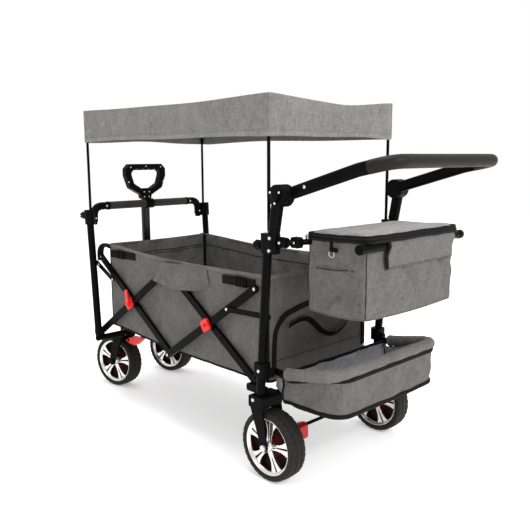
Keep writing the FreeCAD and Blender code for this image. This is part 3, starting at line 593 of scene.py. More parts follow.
def make_canopy(look):
    """One sheet: four hanging sides and a roof slung between the rods' tips."""
    low, high = box_mm("canopy")
    corner_z, droops, roof_sag = high.z - 10.0, (7.0, 15.0, 9.0, 10.0), 26.0
    middle = (low + high) / 2
    loop = rounded_loop((low.x + 1, high.x - 1), (low.y + 1, high.y - 1), (9,) * 4, 40, 4)

    def top_z(s):
        uneven = 1.3 * math.sin(s.share * 11.0 + s.side) * hump(s.share)
        return corner_z - droops[s.side] * hump(s.share ** 1.15) ** 1.2 - uneven

    def wall(s, v, out=0.0):
        top, foot = top_z(s), low.z + 5.0 * hump(s.share) + 2.0 * math.sin(s.share * 9.0 + s.side)
        place = Vector((s.x, s.y, foot + (top - foot) * v))
        lean = 6.0 * hump(s.share) * (0.35 + 0.65 * v) + ripple(place, 95, 330, 3.2, s.side) * hump(s.share)
        return place - s.out * (max(lean, 0.0) - out)

    def roof(s, inward):
        x, y = drawn_in(s, middle, inward)
        edge = wall(s, 1.0)
        fold = 2.5 * noise.noise(Vector((x / 120, y / 120, 3.1))) * (1 - inward)
        here = Vector((x, y, corner_z - (corner_z - edge.z) * inward - roof_sag * (1 - inward) + fold))
        return edge.lerp(here, ease((1 - inward) * 12))

    rows = [[wall(s, v) for s in loop] for v in (0, 0.06, 0.12, 0.25, 0.4, 0.55, 0.7, 0.85, 0.95, 0.985)]
    insets = [1.0, 0.992, 0.97, 0.93] + [0.86 - 0.085 * k for k in range(10)]
    rows += [[roof(s, inward) for s in loop] for inward in insets]
    canopy = skin("canopy_cloth", rows, look["canopy"])
    close_ring(canopy, len(loop), len(rows))
    thicken(subdivide(canopy), CLOTH)

    hem_rows = [[wall(s, v, 1.1) for s in loop] for v in (-0.02, 0.03, 0.08, HEM_H / 100)]
    hem = thicken(subdivide(skin("canopy_hem", hem_rows, look["canopy_hem"])), 1.6)
    thread = [wall(s, HEM_H / 112, 1.6) for s in loop]
    hem_thread = stitches("canopy_hem_stitches", thread + thread[:1], look["thread"])
    seams = []
    for n in range(4):
        corner = corner_spot(loop, n)
        line = [wall(corner, k / 8, 0.8) for k in range(9)]
        seams.append(sweep("seam", line, oval(SEAM_R, sides=8), look["canopy_hem"], up=FORWARD))
    seams = merged("canopy_corner_seams", seams)

    rods = [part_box(n)[0].x / MM for n in ("rear_canopy_rods", "front_canopy_rods")]
    fold = (rods[0], rods[1] - rods[0])
    for piece in (canopy, hem, hem_thread, seams):
        nodes = ("canopy",) if piece == canopy else ()
        finish_piece(piece, "canopy", nodes, fold)


def close_ring(piece, columns, rows):
    """Fills the small ring left at the middle of a shrinking surface."""
    shape = bmesh.new()
    shape.from_mesh(piece.data)
    shape.verts.ensure_lookup_table()
    ring = [shape.verts[(rows - 1) * columns + k] for k in range(columns)]
    centre = shape.verts.new(sum((v.co for v in ring), Vector()) / columns)
    for k in range(columns):
        face = shape.faces.new((ring[k], ring[(k + 1) % columns], centre))
        face.smooth = True
    bmesh.ops.recalc_face_normals(shape, faces=shape.faces)
    shape.to_mesh(piece.data)
    shape.free()


# ---------------------------------------------------------------- tub


class Tub:
    """The basket's surface, as points on a wall by height share."""

    def __init__(self):
        self.low, self.high = box_mm("basket")
        self.length = self.high.x - self.low.x
        self.loop = rounded_loop((self.low.x, self.high.x), (self.low.y, self.high.y), (22,) * 4, 44, 5)

    def forward(self, s):
        return (s.x - self.low.x) / self.length

    def foot_z(self, s):
        return self.low.z + 1.0 + 22.0 * ease((self.forward(s) - 0.5) * 2)

    def rim_z(self, s):
        back = ease((1 - self.forward(s)) * 2.2)
        dip = 5.0 * hump(s.share) if s.side in (0, 2) else 3.0 * hump(s.share)
        return self.high.z - 13.0 * back - dip

    def wall(self, s, v, out=0.0):
        foot, top = self.foot_z(s), self.rim_z(s)
        place = Vector((s.x, s.y, foot + (top - foot) * v))
        slack = hump(s.share) ** 0.5 if s.share else 0.0
        pull = 4.5 * slack * hump(v) + ripple(place, 64, 210, 17.0, s.side) * slack * (0.3 + hump(v))
        if s.side == 2:
            pull += fan(s.x - self.low.x, top - place.z, 11, 190, 6.0) + 1.5 * hump(v)
        return place - s.out * (max(pull, 0.0) - out)

    def line(self, v, out):
        return [self.wall(s, v, out) for s in self.loop]


def make_tub(look):
    tub = Tub()
    low, high = tub.low, tub.high
    middle = (low + high) / 2
    fold = (low.x, tub.length)

    def under(s, inward):
        edge = tub.wall(s, 0)
        x, y = drawn_in(s, middle, inward)
        rise = tub.foot_z(Spot(x, y, s.side, s.share, s.out))
        return Vector((x, y, rise if inward < 1 else edge.z))

    rows = [[under(s, 0.06 + 0.094 * k) for s in tub.loop] for k in range(10)]
    rows += [[under(s, 0.985) for s in tub.loop]]
    heights = [0, 0.03] + [0.08 + 0.0836 * k for k in range(12)]
    rows += [tub.line(v, 0.0) for v in heights]
    cloth = skin("tub_cloth", list(reversed(rows)), [look["fabric"], look["inner"]])
    close_ring(cloth, len(tub.loop), len(rows))
    thicken(subdivide(cloth), TUB_CLOTH, 1)
    finish_piece(cloth, "rear_frame", ("basket",), fold)

    trims = []
    rim = tub.line(1.0, -0.6)
    rim = [p - UP * 4.0 for p in rim]
    trims.append(sweep("tub_rim_hem", rim, band(HEM_H, 5.2), look["hem"], closed=True))
    trims.append(sweep("tub_bottom_piping", [p + UP * 1.5 for p in tub.line(0.0, 0.6)], oval(2.4, 3.2),
                       look["binding"], closed=True))
    thread = [p - UP * 9.2 for p in tub.line(1.0, 0.5)]
    trims.append(stitches("tub_rim_stitches", thread + thread[:1], look["thread"]))
    for n in range(4):
        corner = corner_spot(tub.loop, n)
        outside = [tub.wall(corner, k / 10, 1.2) for k in range(11)]
        trims.append(sweep("tub_corner_binding_%d" % n, outside, band(13.0, 2.4), look["binding"],
                           up=corner.out.cross(UP)))
        inside = [tub.wall(corner, k / 10, -TUB_CLOTH - 1.4) for k in range(11)]
        trims.append(sweep("tub_corner_tape_%d" % n, inside, band(13.0, 2.4), look["binding"],
                           up=corner.out.cross(UP)))
    for label, v, amount in (("upper", 0.86, 1.7), ("lower", 0.83, 1.2)):
        seam = tub.line(v, -TUB_CLOTH - 1.5)
        if label == "lower":
            seam = [p for p, s in zip(seam, tub.loop) if s.side == 3]
        trims.append(sweep("tub_inner_seam_" + label, seam, oval(amount, sides=8), look["seam"],
                           closed=label == "upper"))
    finish_all(trims, "rear_frame", fold)
    make_tub_rear(look, tub, fold)
    make_tub_straps(look, tub, fold)
    make_skirts(look, tub)
    make_rim_corners(look, tub, fold)
    make_floor_pad(look, tub, fold)


def make_tub_rear(look, tub, fold):
    """The piped arch and the hanging loop on the rear wall."""
    x = tub.low.x - 2.4
    half = [(210, 300), (208, 380), (200, 425), (168, 458), (123, 472), (60, 482)]
    arch = [Vector((x, y, z)) for y, z in half + [(0, 485)] + [(-y, z) for y, z in reversed(half)]]
    arch = sweep("tub_rear_arch", smooth_path(arch, 6), band(4.5, 15.0), look["binding"], up=FORWARD)
    loop = [(148, 426, 2), (112, 437, 6), (78, 438, 11), (52, 420, 14), (22, 393, 16), (-12, 376, 17)]
    loop += [(-43, 371, 17), (-80, 379, 15), (-112, 398, 11), (-128, 428, 6), (-132, 456, 2)]
    loop = [Vector((x - off, y, z)) for y, z, off in loop]
    loop = sweep("tub_rear_loop", smooth_path(loop, 6), band(17.0, 2.4), look["tape"],
                 up=Vector((-0.5, 0, 1)))
    seam = [Vector((tub.low.x - 0.6, y, 330)) for y in range(-200, 201, 20)]
    seam = sweep("tub_rear_seam", seam, oval(0.9, sides=8), look["seam"])
    finish_all((arch, loop, seam), "rear_frame", fold)


def make_tub_straps(look, tub, fold):
    """Webbing with a side-release buckle near each end of each side, just under the rim."""
    for end, x_range, buckle_x, z in (("rear", (-262, -116), (-228, -176), 556.0),
                                      ("front", (362, 524), (430, 482), 568.0)):
        y = tub.high.y + 2.2
        steps = [x_range[0] + (x_range[1] - x_range[0]) * k / 12 for k in range(13)]
        path = [Vector((x, y - 0.8 * math.sin(x / 17.0), z - 3.0 * ease((x - x_range[0]) / 160.0)))
                for x in steps]
        tape = sweep("strap", path, band(27.0, 2.2), look["tape"])
        middle = Vector((sum(buckle_x) / 2, y + 3.4, z - 1.0))
        body = rounded_box("strap", middle, Vector((abs(buckle_x[1] - buckle_x[0]), 6.0, 31.0)), 2.4,
                           look["plastic_black"])
        bars = []
        for offset in (-15.0, 0.0, 15.0):
            spot = middle + Vector((offset, 3.6, 0))
            bars.append(rounded_box("strap", spot, Vector((4.0, 2.6, 27.0)), 1.0, look["plastic_black"]))
        strap = merged("left_%s_strap" % end, [tape, body] + bars)
        finish_all((strap, twin(strap, "right_%s_strap" % end)), "rear_frame", fold)


def make_skirts(look, tub):
    """The cloth that hangs from the rim over the top of the linkage, on each side."""
    x_range, lowest_x, lowest_z, peak = (-40.0, 224.0), 84.0, 496.0, Vector((153.0, 0, 556.0))
    columns, depth = 48, (0, 0.06, 0.12, 0.2, 0.28, 0.36, 0.45, 0.55, 0.65, 0.75, 0.85, 0.93, 1.0)
    lean, out_y = 54.0, LINK_FACE + 1.0

    def spot(across, v, out=0.0):
        front = ease((across - lowest_x) / (x_range[1] - lowest_x))
        x = across - lean * (1 - min(v, 1.0)) * front
        edge = Spot(x, tub.high.y, 0, (tub.high.x - x) / tub.length, LEFT)
        top = tub.wall(edge, 1.0, 2.6) - UP * 5.0
        foot_z = lowest_z + 0.00055 * (across - lowest_x) ** 2
        z = top.z + (foot_z - top.z) * v + 1.4 * math.sin(x / 21.0) * v
        near = math.hypot(x - peak.x, z - peak.z)
        swing = ease((across - x_range[0]) / 90.0) * (1 - 0.25 * ease(front * 2 - 1))
        tent = max(ease(v / 0.45), ease(1.6 - near / 40.0))
        turn = math.atan2(z - peak.z, x - peak.x)
        crease = 3.6 * math.sin(turn * 7.0 + 0.8) * ease(near / 26.0) * ease(1.4 - near / 95.0)
        tuck = 15.0 * v * (1 - ease((across - x_range[0]) / 60.0))
        y = top.y + (out_y - top.y) * swing * tent + crease * swing - tuck
        return Vector((x, y + out, z))

    xs = [x_range[0] + (x_range[1] - x_range[0]) * k / columns for k in range(columns + 1)]
    skirt = thicken(subdivide(skin("left_skirt", [[spot(x, v) for x in xs] for v in depth], look["fabric"],
                                   around=False)), CLOTH)
    hem_rows = [[spot(x, v, 0.7) for x in xs] for v in (0.91, 0.95, 1.01)]
    hem = thicken(subdivide(skin("left_skirt_hem", hem_rows, look["fabric"], around=False)), 1.8)
    thread = stitches("left_skirt_stitches", [spot(x, 0.895, 0.9) for x in xs], look["thread"])
    fold = (LINKAGE_X[0], LINKAGE_X[1] - LINKAGE_X[0])
    others = [twin(skirt, "right_skirt"), twin(hem, "right_skirt_hem"), twin(thread, "right_skirt_stitches")]
    for pieces in ((skirt, hem, thread), others):
        for piece in pieces:
            nodes = ("side_flaps",) if piece in (skirt, others[0]) else ()
            finish_piece(piece, "rear_frame", nodes, fold)


def make_rim_corners(look, tub, fold):
    """The black sleeves that tie the tub's front corners to the tops of the front bars."""
    x, y, z = tub.high.x, tub.high.y, tub.high.z
    line = [(44, 8, -66), (46, 8, -44), (42, 7, -22), (28, 5, -8), (8, 1, -6), (-16, 1.5, -9)]
    path = smooth_path([Vector((x + dx, y + dy, z + dz)) for dx, dy, dz in line], 5)
    near = sweep("left_rim_corner", path, oval(7.5, 13.0, 14), look["binding"], up=LEFT)
    finish_all((near, twin(near, "right_rim_corner")), "rear_frame", fold)


def make_floor_pad(look, tub, fold):
    """The folding mat on the tub's floor, in four panels."""
    low, high = tub.low, tub.high
    inset, thick = 12.0, 9.0
    loop = rounded_loop((low.x + inset, high.x - inset), (low.y + inset, high.y - inset), (16,) * 4, 30, 4)
    middle = (low + high) / 2
    hinges = [low.x + tub.length * k / 4 for k in (1, 2, 3)]

    def spot(s, inward, z):
        x, y = drawn_in(s, middle, inward)
        base = tub.foot_z(Spot(x, y, 0, 0, LEFT)) + TUB_CLOTH + 3.5
        return Vector((x, y, base + z))

    rings = [(0.03 + 0.097 * k, 0.0) for k in range(10)] + [(0.985, 0.0)]
    rings += [(1.0, thick * 0.3), (1.0, thick * 0.7), (0.985, thick)]
    rings += [(0.903 - 0.097 * k, thick) for k in range(10)]
    rows = [[spot(s, inward, z) for s in loop] for inward, z in rings]
    pad = skin("floor_pad", rows, look["inner"], caps=True)
    puff(pad, 6.0, 5.0)
    for hinge in hinges:
        press_line(pad, hinge, 7.0, 4.0)
    piping = [spot(s, 1.004, thick / 2) for s in loop]
    piping = sweep("floor_pad_piping", piping, oval(2.0), look["binding"], closed=True)
    finish_all((pad, piping), "rear_frame", fold)


def press_line(piece, x, half_width, depth):
    """Presses a sewn line across a pad, down into its top."""
    top = max(v.co.z for v in piece.data.vertices) / MM
    for vertex in piece.data.vertices:
        near = 1 - abs(vertex.co.x / MM - x) / half_width
        if near > 0 and vertex.normal.z > 0.3 and vertex.co.z / MM > top - 60:
            vertex.co.z -= depth * ease(near) * MM


def puff(piece, voxel, cap, pressure=4.0, frames=20):
    """Air pressure swells a closed fabric form. No point moves more than the cap."""
    scene = bpy.context.scene
    remesh = piece.modifiers.new("remesh", "REMESH")
    remesh.mode = "VOXEL"
    remesh.voxel_size = voxel * MM
    replace_mesh(piece)
    rest = [v.co.copy() for v in piece.data.vertices]
    cloth = piece.modifiers.new("cloth", "CLOTH")
    cloth.settings.use_pressure = True
    cloth.settings.uniform_pressure_force = pressure
    cloth.settings.effector_weights.gravity = 0
    cloth.settings.quality = 4
    cloth.point_cache.frame_start = 1
    cloth.point_cache.frame_end = frames
    for step in range(1, frames + 1):
        scene.frame_set(step)
    replace_mesh(piece)
    for vertex, start in zip(piece.data.vertices, rest):
        moved = vertex.co - start
        if moved.length > cap * MM:
            vertex.co = start + moved.normalized() * cap * MM
    scene.frame_set(1)
    piece.data.shade_smooth()
    return subdivide(piece)


def replace_mesh(piece):
    """Puts what the modifiers make in the place of the piece's mesh."""
    graph = bpy.context.evaluated_depsgraph_get()
    made = bpy.data.meshes.new_from_object(piece.evaluated_get(graph))
    piece.modifiers.clear()
    piece.data = made


# ---------------------------------------------------------------- bag


class Bag:
    """The rear bag's soft walls."""

    def __init__(self):
        self.low, self.high = box_mm("bag_shell")
        low, high = self.low, self.high
        self.loop = rounded_loop((low.x - 5, high.x), (low.y - 5, high.y - 3), (13,) * 4, 30, 4)

    def wall(self, s, v, out=0.0):
        low, high = self.low, self.high
        sag = 5.0 * hump(s.share) * (1 - v)
        place = Vector((s.x, s.y, low.z - sag + (high.z - low.z + sag) * v))
        full = hump(s.share) if s.share else 0.0
        folds = ripple(place, 42, 110, 19.0, s.side + 2.0)
        swell = 4.0 * full ** 0.6 * hump(v) ** 0.7 + folds * (0.25 + full * hump(v))
        if s.side in (0, 1):
            across = s.x - low.x if s.side == 0 else high.y - s.y
            swell += fan(across, place.z - low.z, 9, 130, 4.6) + fan(across, high.z - place.z, 8, 90, 3.0)
        swell = min(swell, BAG_SWELL)
        return place + s.out * (swell + out) * ease(v * 6 + 0.25) * ease((1 - v) * 9 + 0.25)

    def on_side(self, side, share):
        """The spot on one side nearest to a share of its length."""
        spots = [s for s in self.loop if s.side == side and s.share]
        return min(spots, key=lambda s: abs(s.share - share))


def make_bag(look):
    bag = Bag()
    low, high = bag.low, bag.high
    middle = (low + high) / 2

    def under(s, inward):
        edge = bag.wall(s, 0)
        x, y = drawn_in(s, middle, inward)
        return Vector((x, y, edge.z - 6.0 * (1 - inward) ** 0.8))

    rows = [[under(s, 0.07 + 0.1 * k) for s in bag.loop] for k in range(10)]
    rows += [[bag.wall(s, v) for s in bag.loop] for v in [0, 0.03] + [0.07 + 0.0715 * k for k in range(14)]]
    cloth = skin("bag_cloth", list(reversed(rows)), [look["fabric"], look["inner"]])
    close_ring(cloth, len(bag.loop), len(rows))
    thicken(subdivide(cloth), CLOTH, 1)
    finish_piece(cloth, "rear_frame", ("bag_shell",))

    pieces = []
    for n in range(4):
        corner = corner_spot(bag.loop, n)
        wobble = [bag.wall(corner, 0.02 + 0.9 * k / 16, 0.3 + 0.6 * math.sin(k * 1.7 + n)) for k in range(17)]
        pieces.append(sweep("bag_seam", wobble, oval(1.3, sides=8), look["seam"], up=FORWARD))
    pocket = [s for s in bag.loop if s.side == 0 and 0.12 < s.share < 0.9]
    line = [bag.wall(s, 0.60 + 0.02 * s.share, 0.6) for s in pocket]
    pieces.append(sweep("bag_seam", line, oval(1.5, 1.3, sides=8), look["seam"]))
    floor_line = [bag.wall(s, 0.0, -0.4) for s in bag.loop]
    pieces.append(sweep("bag_seam", floor_line, oval(1.2, sides=8), look["fabric"], closed=True))
    seams = merged("bag_seams", pieces)
    finish_piece(seams, "rear_frame")
    line = [bag.wall(s, 0.63 + 0.02 * s.share, 1.0) for s in pocket]
    pocket_thread = stitches("bag_pocket_stitches", line, look["seam"], 5.0, 3.0, 0.45)
    finish_piece(pocket_thread, "rear_frame")
    make_bag_sleeve(look)
    make_bag_clip(look, bag)
    make_bag_blocks(look)
    make_lid(look)


def make_bag_sleeve(look):
    """The flap that wraps the rear bar and is sewn to the bag's rear face."""
    low, high = box_mm("bag_frame")
    shell = box_mm("bag_shell")[0]
    bar_x, bar_z, around = low.x + 13.0, high.z - 13.0, 11.0 + 1.6
    turns = [math.radians(70 + 22 * k) for k in range(7)]
    turn = [Vector((bar_x + around * math.cos(a), 0, bar_z + around * math.sin(a))) for a in turns]
    tail = [Vector((shell.x - off, 0, z)) for off, z in ((13.0, 668), (14.0, 650), (15.0, 634))]
    section = [Vector((shell.x + 4, 0, 707))] + turn + tail
    ys = [130.0 - 10.0 * k for k in range(33)]

    def spot(p, y):
        slack = 1.6 * noise.noise(Vector((y / 45, p.z / 40, 4.0)))
        return Vector((p.x - max(slack, 0) - 0.4, y, p.z + slack * 0.6))

    rows = [[spot(p, y) for y in ys] for p in section]
    sleeve = thicken(subdivide(skin("bag_bar_sleeve", rows, look["sleeve"], around=False)), CLOTH)
    edge = [p + LEFT * 130.0 - FORWARD * 1.0 for p in section]
    binding = sweep("bag_sleeve_binding", smooth_path(edge, 4), band(3.2, 11.0), look["binding"],
                    up=LEFT.cross(UP))
    thread = stitches("bag_sleeve_stitches", [spot(tail[2], y) - FORWARD * 1.4 + UP * 3 for y in ys],
                      look["seam"], 5.0, 3.6, 0.5)
    finish_all((sleeve, binding, thread), "rear_frame")


def make_bag_clip(look, bag):
    """The black hanging clip with its ring, near the top of the bag's left face."""
    spot = bag.wall(bag.on_side(0, 0.42), 0.93, 2.5)
    tape = sweep("clip", [spot + Vector((0, 0, 14)), spot, spot - Vector((2, -2, 14))], band(2.4, 15.0),
                 look["tape"], up=FORWARD)
    hook = rounded_box("clip", spot + Vector((-9, 3.5, -13)), Vector((26, 5, 12)), 2.0, look["plastic_black"])
    circle = [spot + Vector((-3 + 9 * math.cos(a), 4.5, -24 + 9 * math.sin(a)))
              for a in [math.radians(20 * k) for k in range(18)]]
    ring = sweep("clip", circle, oval(1.1, sides=8), look["zinc"], up=LEFT, closed=True)
    finish_piece(merged("bag_clip", [tape, hook, ring]), "rear_frame")


def make_bag_blocks(look):
    """The moulded joints where the bag's arms leave the clamps."""
    high = box_mm("bag_frame")[1]
    z, start = high.z - 13.0, Vector((-397, 266, high.z - 13.0))
    profile = [(8.2, 0), (14, 0), (15, 1.5), (15, 9), (12, 10.5), (12, 14), (14.5, 15.5), (14.5, 22),
               (13, 24), (8.2, 24)]
    joint = lathe("bag_blocks", profile, start, -FORWARD, look["plastic_black"], 24)
    knuckle = rounded_box("bag_blocks", Vector((-432, 240, z)), Vector((30, 26, 30)), 6.0,
                          look["plastic_black"])
    bolts = domes("bag_blocks", [Vector((-432, 253, z)), Vector((-405, 281, z))], LEFT, 4.0, 2.2,
                  look["zinc"])
    near = merged("left_bag_joint", [joint, knuckle, bolts])
    near.data.shade_smooth()
    finish_all((near, twin(near, "right_bag_joint")), "rear_frame")


def make_lid(look):
    """The padded lid and the zip that runs round its edge."""
    low, high = box_mm("bag_lid")
    middle = (low + high) / 2
    loop = rounded_loop((low.x + 4, high.x - 4), (low.y + 4, high.y - 4), (20,) * 4, 26, 5)
    top, foot = high.z - 2.0, low.z + 2.0

    def spot(s, inward, z, crown=0.0):
        x, y = drawn_in(s, middle, inward)
        rise = crown * (1 - inward ** 2) + 1.4 * noise.noise(Vector((x / 50, y / 50, 1.0))) * (1 - inward)
        back = 5.0 * ease((middle.x - x) / 100.0)
        return Vector((x, y, z + rise + back))

    rings = [(0.05 + 0.105 * k, foot, 0.0) for k in range(9)] + [(0.97, foot, 0.0), (1.0, foot + 3, 0.0)]
    rings += [(1.0, top - 3, 0.0), (0.97, top, 3.0)] + [(0.89 - 0.105 * k, top, 3.0) for k in range(9)]
    rows = [[spot(s, *ring) for s in loop] for ring in rings]
    lid = skin("bag_lid_pad", rows, look["lid"], caps=True)
    puff(lid, 4.5, 5.0)
    finish_piece(lid, "bag_lid", ("bag_lid",))

    def edge(out, z):
        line = []
        for s in loop:
            p = spot(s, 1.0, low.z + z) + s.out * out
            line.append(p + UP * 1.6 * noise.noise(Vector((p.x / 40, p.y / 40, 8))))
        return line

    tape = sweep("bag_zip_tape", edge(3.0, -1.0), oval(3.4, 8.5), look["zip"], closed=True)
    teeth = sweep("bag_zip_teeth", edge(6.4, -1.0), band(3.0, 1.6), look["plastic_black"], closed=True)
    piping = sweep("bag_lid_piping", edge(2.0, 8.5), oval(2.6), look["binding"], closed=True)
    corner = edge(8.0, -1.0)[3]
    pull = rounded_box("bag_zip_pull", corner + Vector((2, 1, -10)), Vector((5, 3, 22)), 1.2,
                       look["plastic_black"])
    slider = rounded_box("bag_zip_slider", corner + Vector((0, 0, 1)), Vector((11, 6, 9)), 1.5, look["zinc"])
    finish_all((tape, teeth, piping, pull, slider), "bag_lid")


# ---------------------------------------------------------------- tray


def tray_line():
    """The centre line of the padded bar, from its left front end round to its right."""
    low, high = box_mm("tray_sleeve")
    radius = 19.0
    y, rear, front = high.y - radius, low.x + radius, high.x
    rear_z, front_z = high.z - radius - 2.5, 320.0
    corners = [Vector((front, y, front_z)), Vector((rear, y, rear_z)), Vector((rear, -y, rear_z)),
               Vector((front, -y, front_z))]
    return rounded_path(corners, 62.0, 12, 14), radius


def make_tray(look):
    path, radius = tray_line()
    count = len(path)

    def swell(n):
        gather = 0.035 * math.sin(n * 1.9) + 0.05 * noise.noise(Vector((n / 3.1, 0, 0)))
        end = 0.9 if n in (0, count - 1) else 1.0
        return (0.93 + gather) * end

    sleeve = sweep("tray_padded_sleeve", path, oval(radius * 1.0, radius * 0.99, 20), look["sleeve"],
                   swell=swell)
    puff(sleeve, 5.0, 2.5)
    finish_piece(sleeve, "tray", ("tray_sleeve",))
    ends, ring = [], [(9, -1.5), (17.0, -1.5), (18.6, 2), (18.2, 9), (17, 9), (9, 0)]
    for n in (0, count - 1):
        spot, on = path[n], path[1 if n == 0 else -2]
        along = (on - spot).normalized()
        ends.append(lathe("tray_sleeve_end", ring, spot, along, look["sleeve"], 28))
    finish_piece(merged("tray_sleeve_ends", ends), "tray")
    make_pouch(look)


def make_pouch(look):
    """The shallow tray that hangs from the padded bar, with its black piping."""
    low, high = box_mm("tray_pouch")
    rear_r, front_r = 52.0, 6.0
    sleeve_high = box_mm("tray_sleeve")[1]
    loop = rounded_loop((low.x, high.x), (low.y, high.y), (front_r, rear_r, rear_r, front_r), 26, 10)
    middle = (low + high) / 2
    rear_top, front_top = sleeve_high.z - 34.0, 316.0

    def top_z(s):
        side_top = 298.0 + (rear_top - 298.0) * ease((high.x - s.x) / (high.x - low.x) * 1.15)
        return side_top + (front_top - 298.0) * ease(1 - (high.x - s.x) / 14.0)

    def wall(s, v, out=0.0):
        foot = low.z + 3.0 - 2.0 * hump(s.share)
        place = Vector((s.x, s.y, foot + (top_z(s) - foot) * v))
        taper = 3.5 * (1 - v) if s.side != 3 else 0.0
        full = 3.0 * hump(v) + ripple(place, 52, 130, 15.0, s.side + 5.0) * hump(v)
        if s.side == 0:
            full += fan(high.x - s.x, top_z(s) - place.z, 9, 120, 4.5)
        return place + s.out * (min(full, 7.0) - taper + out)

    def floor(s, inward):
        edge = wall(s, 0)
        x, y = drawn_in(edge, middle, inward)
        return Vector((x, y, edge.z - 3.5 * (1 - inward) + 1.6 * noise.noise(Vector((x / 60, y / 60, 6)))))

    rows = [[floor(s, 0.06 + 0.1 * k) for s in loop] for k in range(10)]
    rows += [[wall(s, v) for s in loop] for v in (0, 0.05, 0.15, 0.3, 0.45, 0.6, 0.75, 0.88, 1.0)]
    cloth = skin("tray_pouch_cloth", list(reversed(rows)), [look["fabric"], look["tray_inner"]])
    close_ring(cloth, len(loop), len(rows))
    thicken(subdivide(cloth), CLOTH, 1)
    finish_piece(cloth, "tray", ("tray_pouch",))

    sides = [s for s in loop if s.side != 3 and not (s.side == 0 and s.share == 0.0)]
    top_line = [wall(s, 0.985, 2.0) for s in sides]
    thick = [0.45 + 0.75 * ease((high.x - s.x) / 120.0) for s in sides]
    upper = sweep("tray_upper_piping", top_line, oval(3.0, 6.0), look["binding"], swell=lambda n: thick[n])
    lower = sweep("tray_lower_piping", [wall(s, 0.02, 1.2) for s in loop], oval(4.0, 6.6), look["binding"],
                  closed=True)
    trims = [upper, lower]
    for n in (0, 3):
        corner = corner_spot(loop, n, 5 if n == 0 else 0)
        line = [wall(corner, k / 8, 1.6) for k in range(9)]
        trims.append(sweep("tray_corner_piping_%d" % n, line, oval(3.4), look["binding"]))
    front = [wall(s, 0.93, 1.2) for s in loop if s.side == 3]
    trims.append(sweep("tray_front_binding", front, band(26.0, 5.0), look["binding"]))
    trims.append(stitches("tray_stitches", [p - UP * 8.5 for p in top_line], look["thread"]))
    for sign, side in SIDES:
        corners = [(-2, sign * 232, 300), (-2, sign * 232, 246), (44, sign * 222, 264), (40, sign * 224, 292)]
        points = [Vector((high.x + x, y, z)) for x, y, z in corners]
        gusset = new_piece("tray_%s_gusset" % side, points, [(0, 1, 2, 3)], look["tray_inner"])
        trims.append(thicken(gusset, CLOTH))
    finish_all(trims, "tray")


# ---------------------------------------------------------------- wheels


def make_tyre(name, centre, radius, width, out, look):
    """A solid tyre: round shoulders, two grooves and blocks along each shoulder."""
    half, seat = width / 2, radius - 19.0
    near = [(seat, half - 4), (seat + 2, half - 1.5), (seat + 5, half - 0.3), (radius - 9, half),
            (radius - 4, half - 1.8)]
    near += [(radius - 1.6, half - 6.0), (radius - 0.8, 15.0), (radius - 0.5, 10.4), (radius - 3.0, 9.6),
             (radius - 3.0, 7.6)]
    near += [(radius - 0.4, 6.8), (radius, 3.0)]
    profile = near + [(r, -y) for r, y in reversed(near)]
    steps, blocks = 160, (4, 5, 6, 7)
    blocks = set(blocks) | {len(profile) - 1 - k for k in blocks}
    rows = []
    for k in range(steps):
        turn = 2 * math.pi * k / steps
        along = out.cross(UP)
        spoke = along * math.cos(turn) + UP * math.sin(turn)
        cut = 2.2 if k % 5 == 0 else 0.0
        rows.append([centre + spoke * (r - (cut if n in blocks else 0.0)) + out * y
                     for n, (r, y) in enumerate(profile)])
    rows.append(rows[0])
    return weld_points(skin(name, rows, look["tyre_black"]))


def make_rim(name, centre, radius, width, out, look):
    """A bright rim: a lipped ring, five wide slotted spokes on each face, a hub and a dark web."""
    seat, half = radius - 19.0, width / 2
    flange = [(seat - 9, half - 10), (seat - 6, half - 7), (seat - 3, half - 4.5), (seat - 1, half - 3.0),
              (seat, half - 4.0)]
    lips = flange + [(seat + 0.3, half - 8), (seat + 0.3, -half + 8)] + [(r, -d) for r, d in reversed(flange)]
    lips += [(seat - 9.5, -half + 14), (seat - 5, -half + 16), (seat - 5, half - 16), (seat - 9.5, half - 14)]
    parts = [lathe(name, lips, centre, out, look["rim_silver"], 72)]
    hub = [(6.5, half - 1), (9, half - 1), (12, half - 4), (16.5, half - 10), (17.5, 6)]
    hub += [(r, -d) for r, d in reversed(hub)]
    parts.append(lathe(name, hub, centre, out, look["rim_silver"], 32))
    web = [(15, 3), (36, 3), (36, -3), (15, -3)]
    parts.append(lathe(name, web, centre, out, look["dark_red"], 40))
    barrel = [(35, 2.4), (seat - 5, 2.4), (seat - 5, half - 15), (seat - 7, half - 15), (seat - 8, 4.6),
              (seat - 8, -4.6), (seat - 7, -half + 15)]
    barrel += [(seat - 5, -half + 15), (seat - 5, -2.4), (35, -2.4)]
    parts.append(lathe(name, barrel, centre, out, look["dark_rim"], 48))
    outline = [(13, 9.5), (30, 8.5), (48, 10.5), (62, 15.5), (seat - 6, 25.0), (seat - 6, 3.6), (58, 2.6),
               (34, 1.8), (30, 0), (13, 0)]
    for n in range(5):
        turn = math.radians(72.0 * n + 18.0)
        along = out.orthogonal().normalized()
        across = along * math.cos(turn) + out.cross(along) * math.sin(turn)
        for face in (1, -1):
            for hand in (1, -1):
                side = out.cross(across) * hand
                parts.append(plate(name, outline, 9.0, centre + out * (half - 14.0) * face, across, side,
                                   look["rim_silver"]))
    return merged(name, parts)


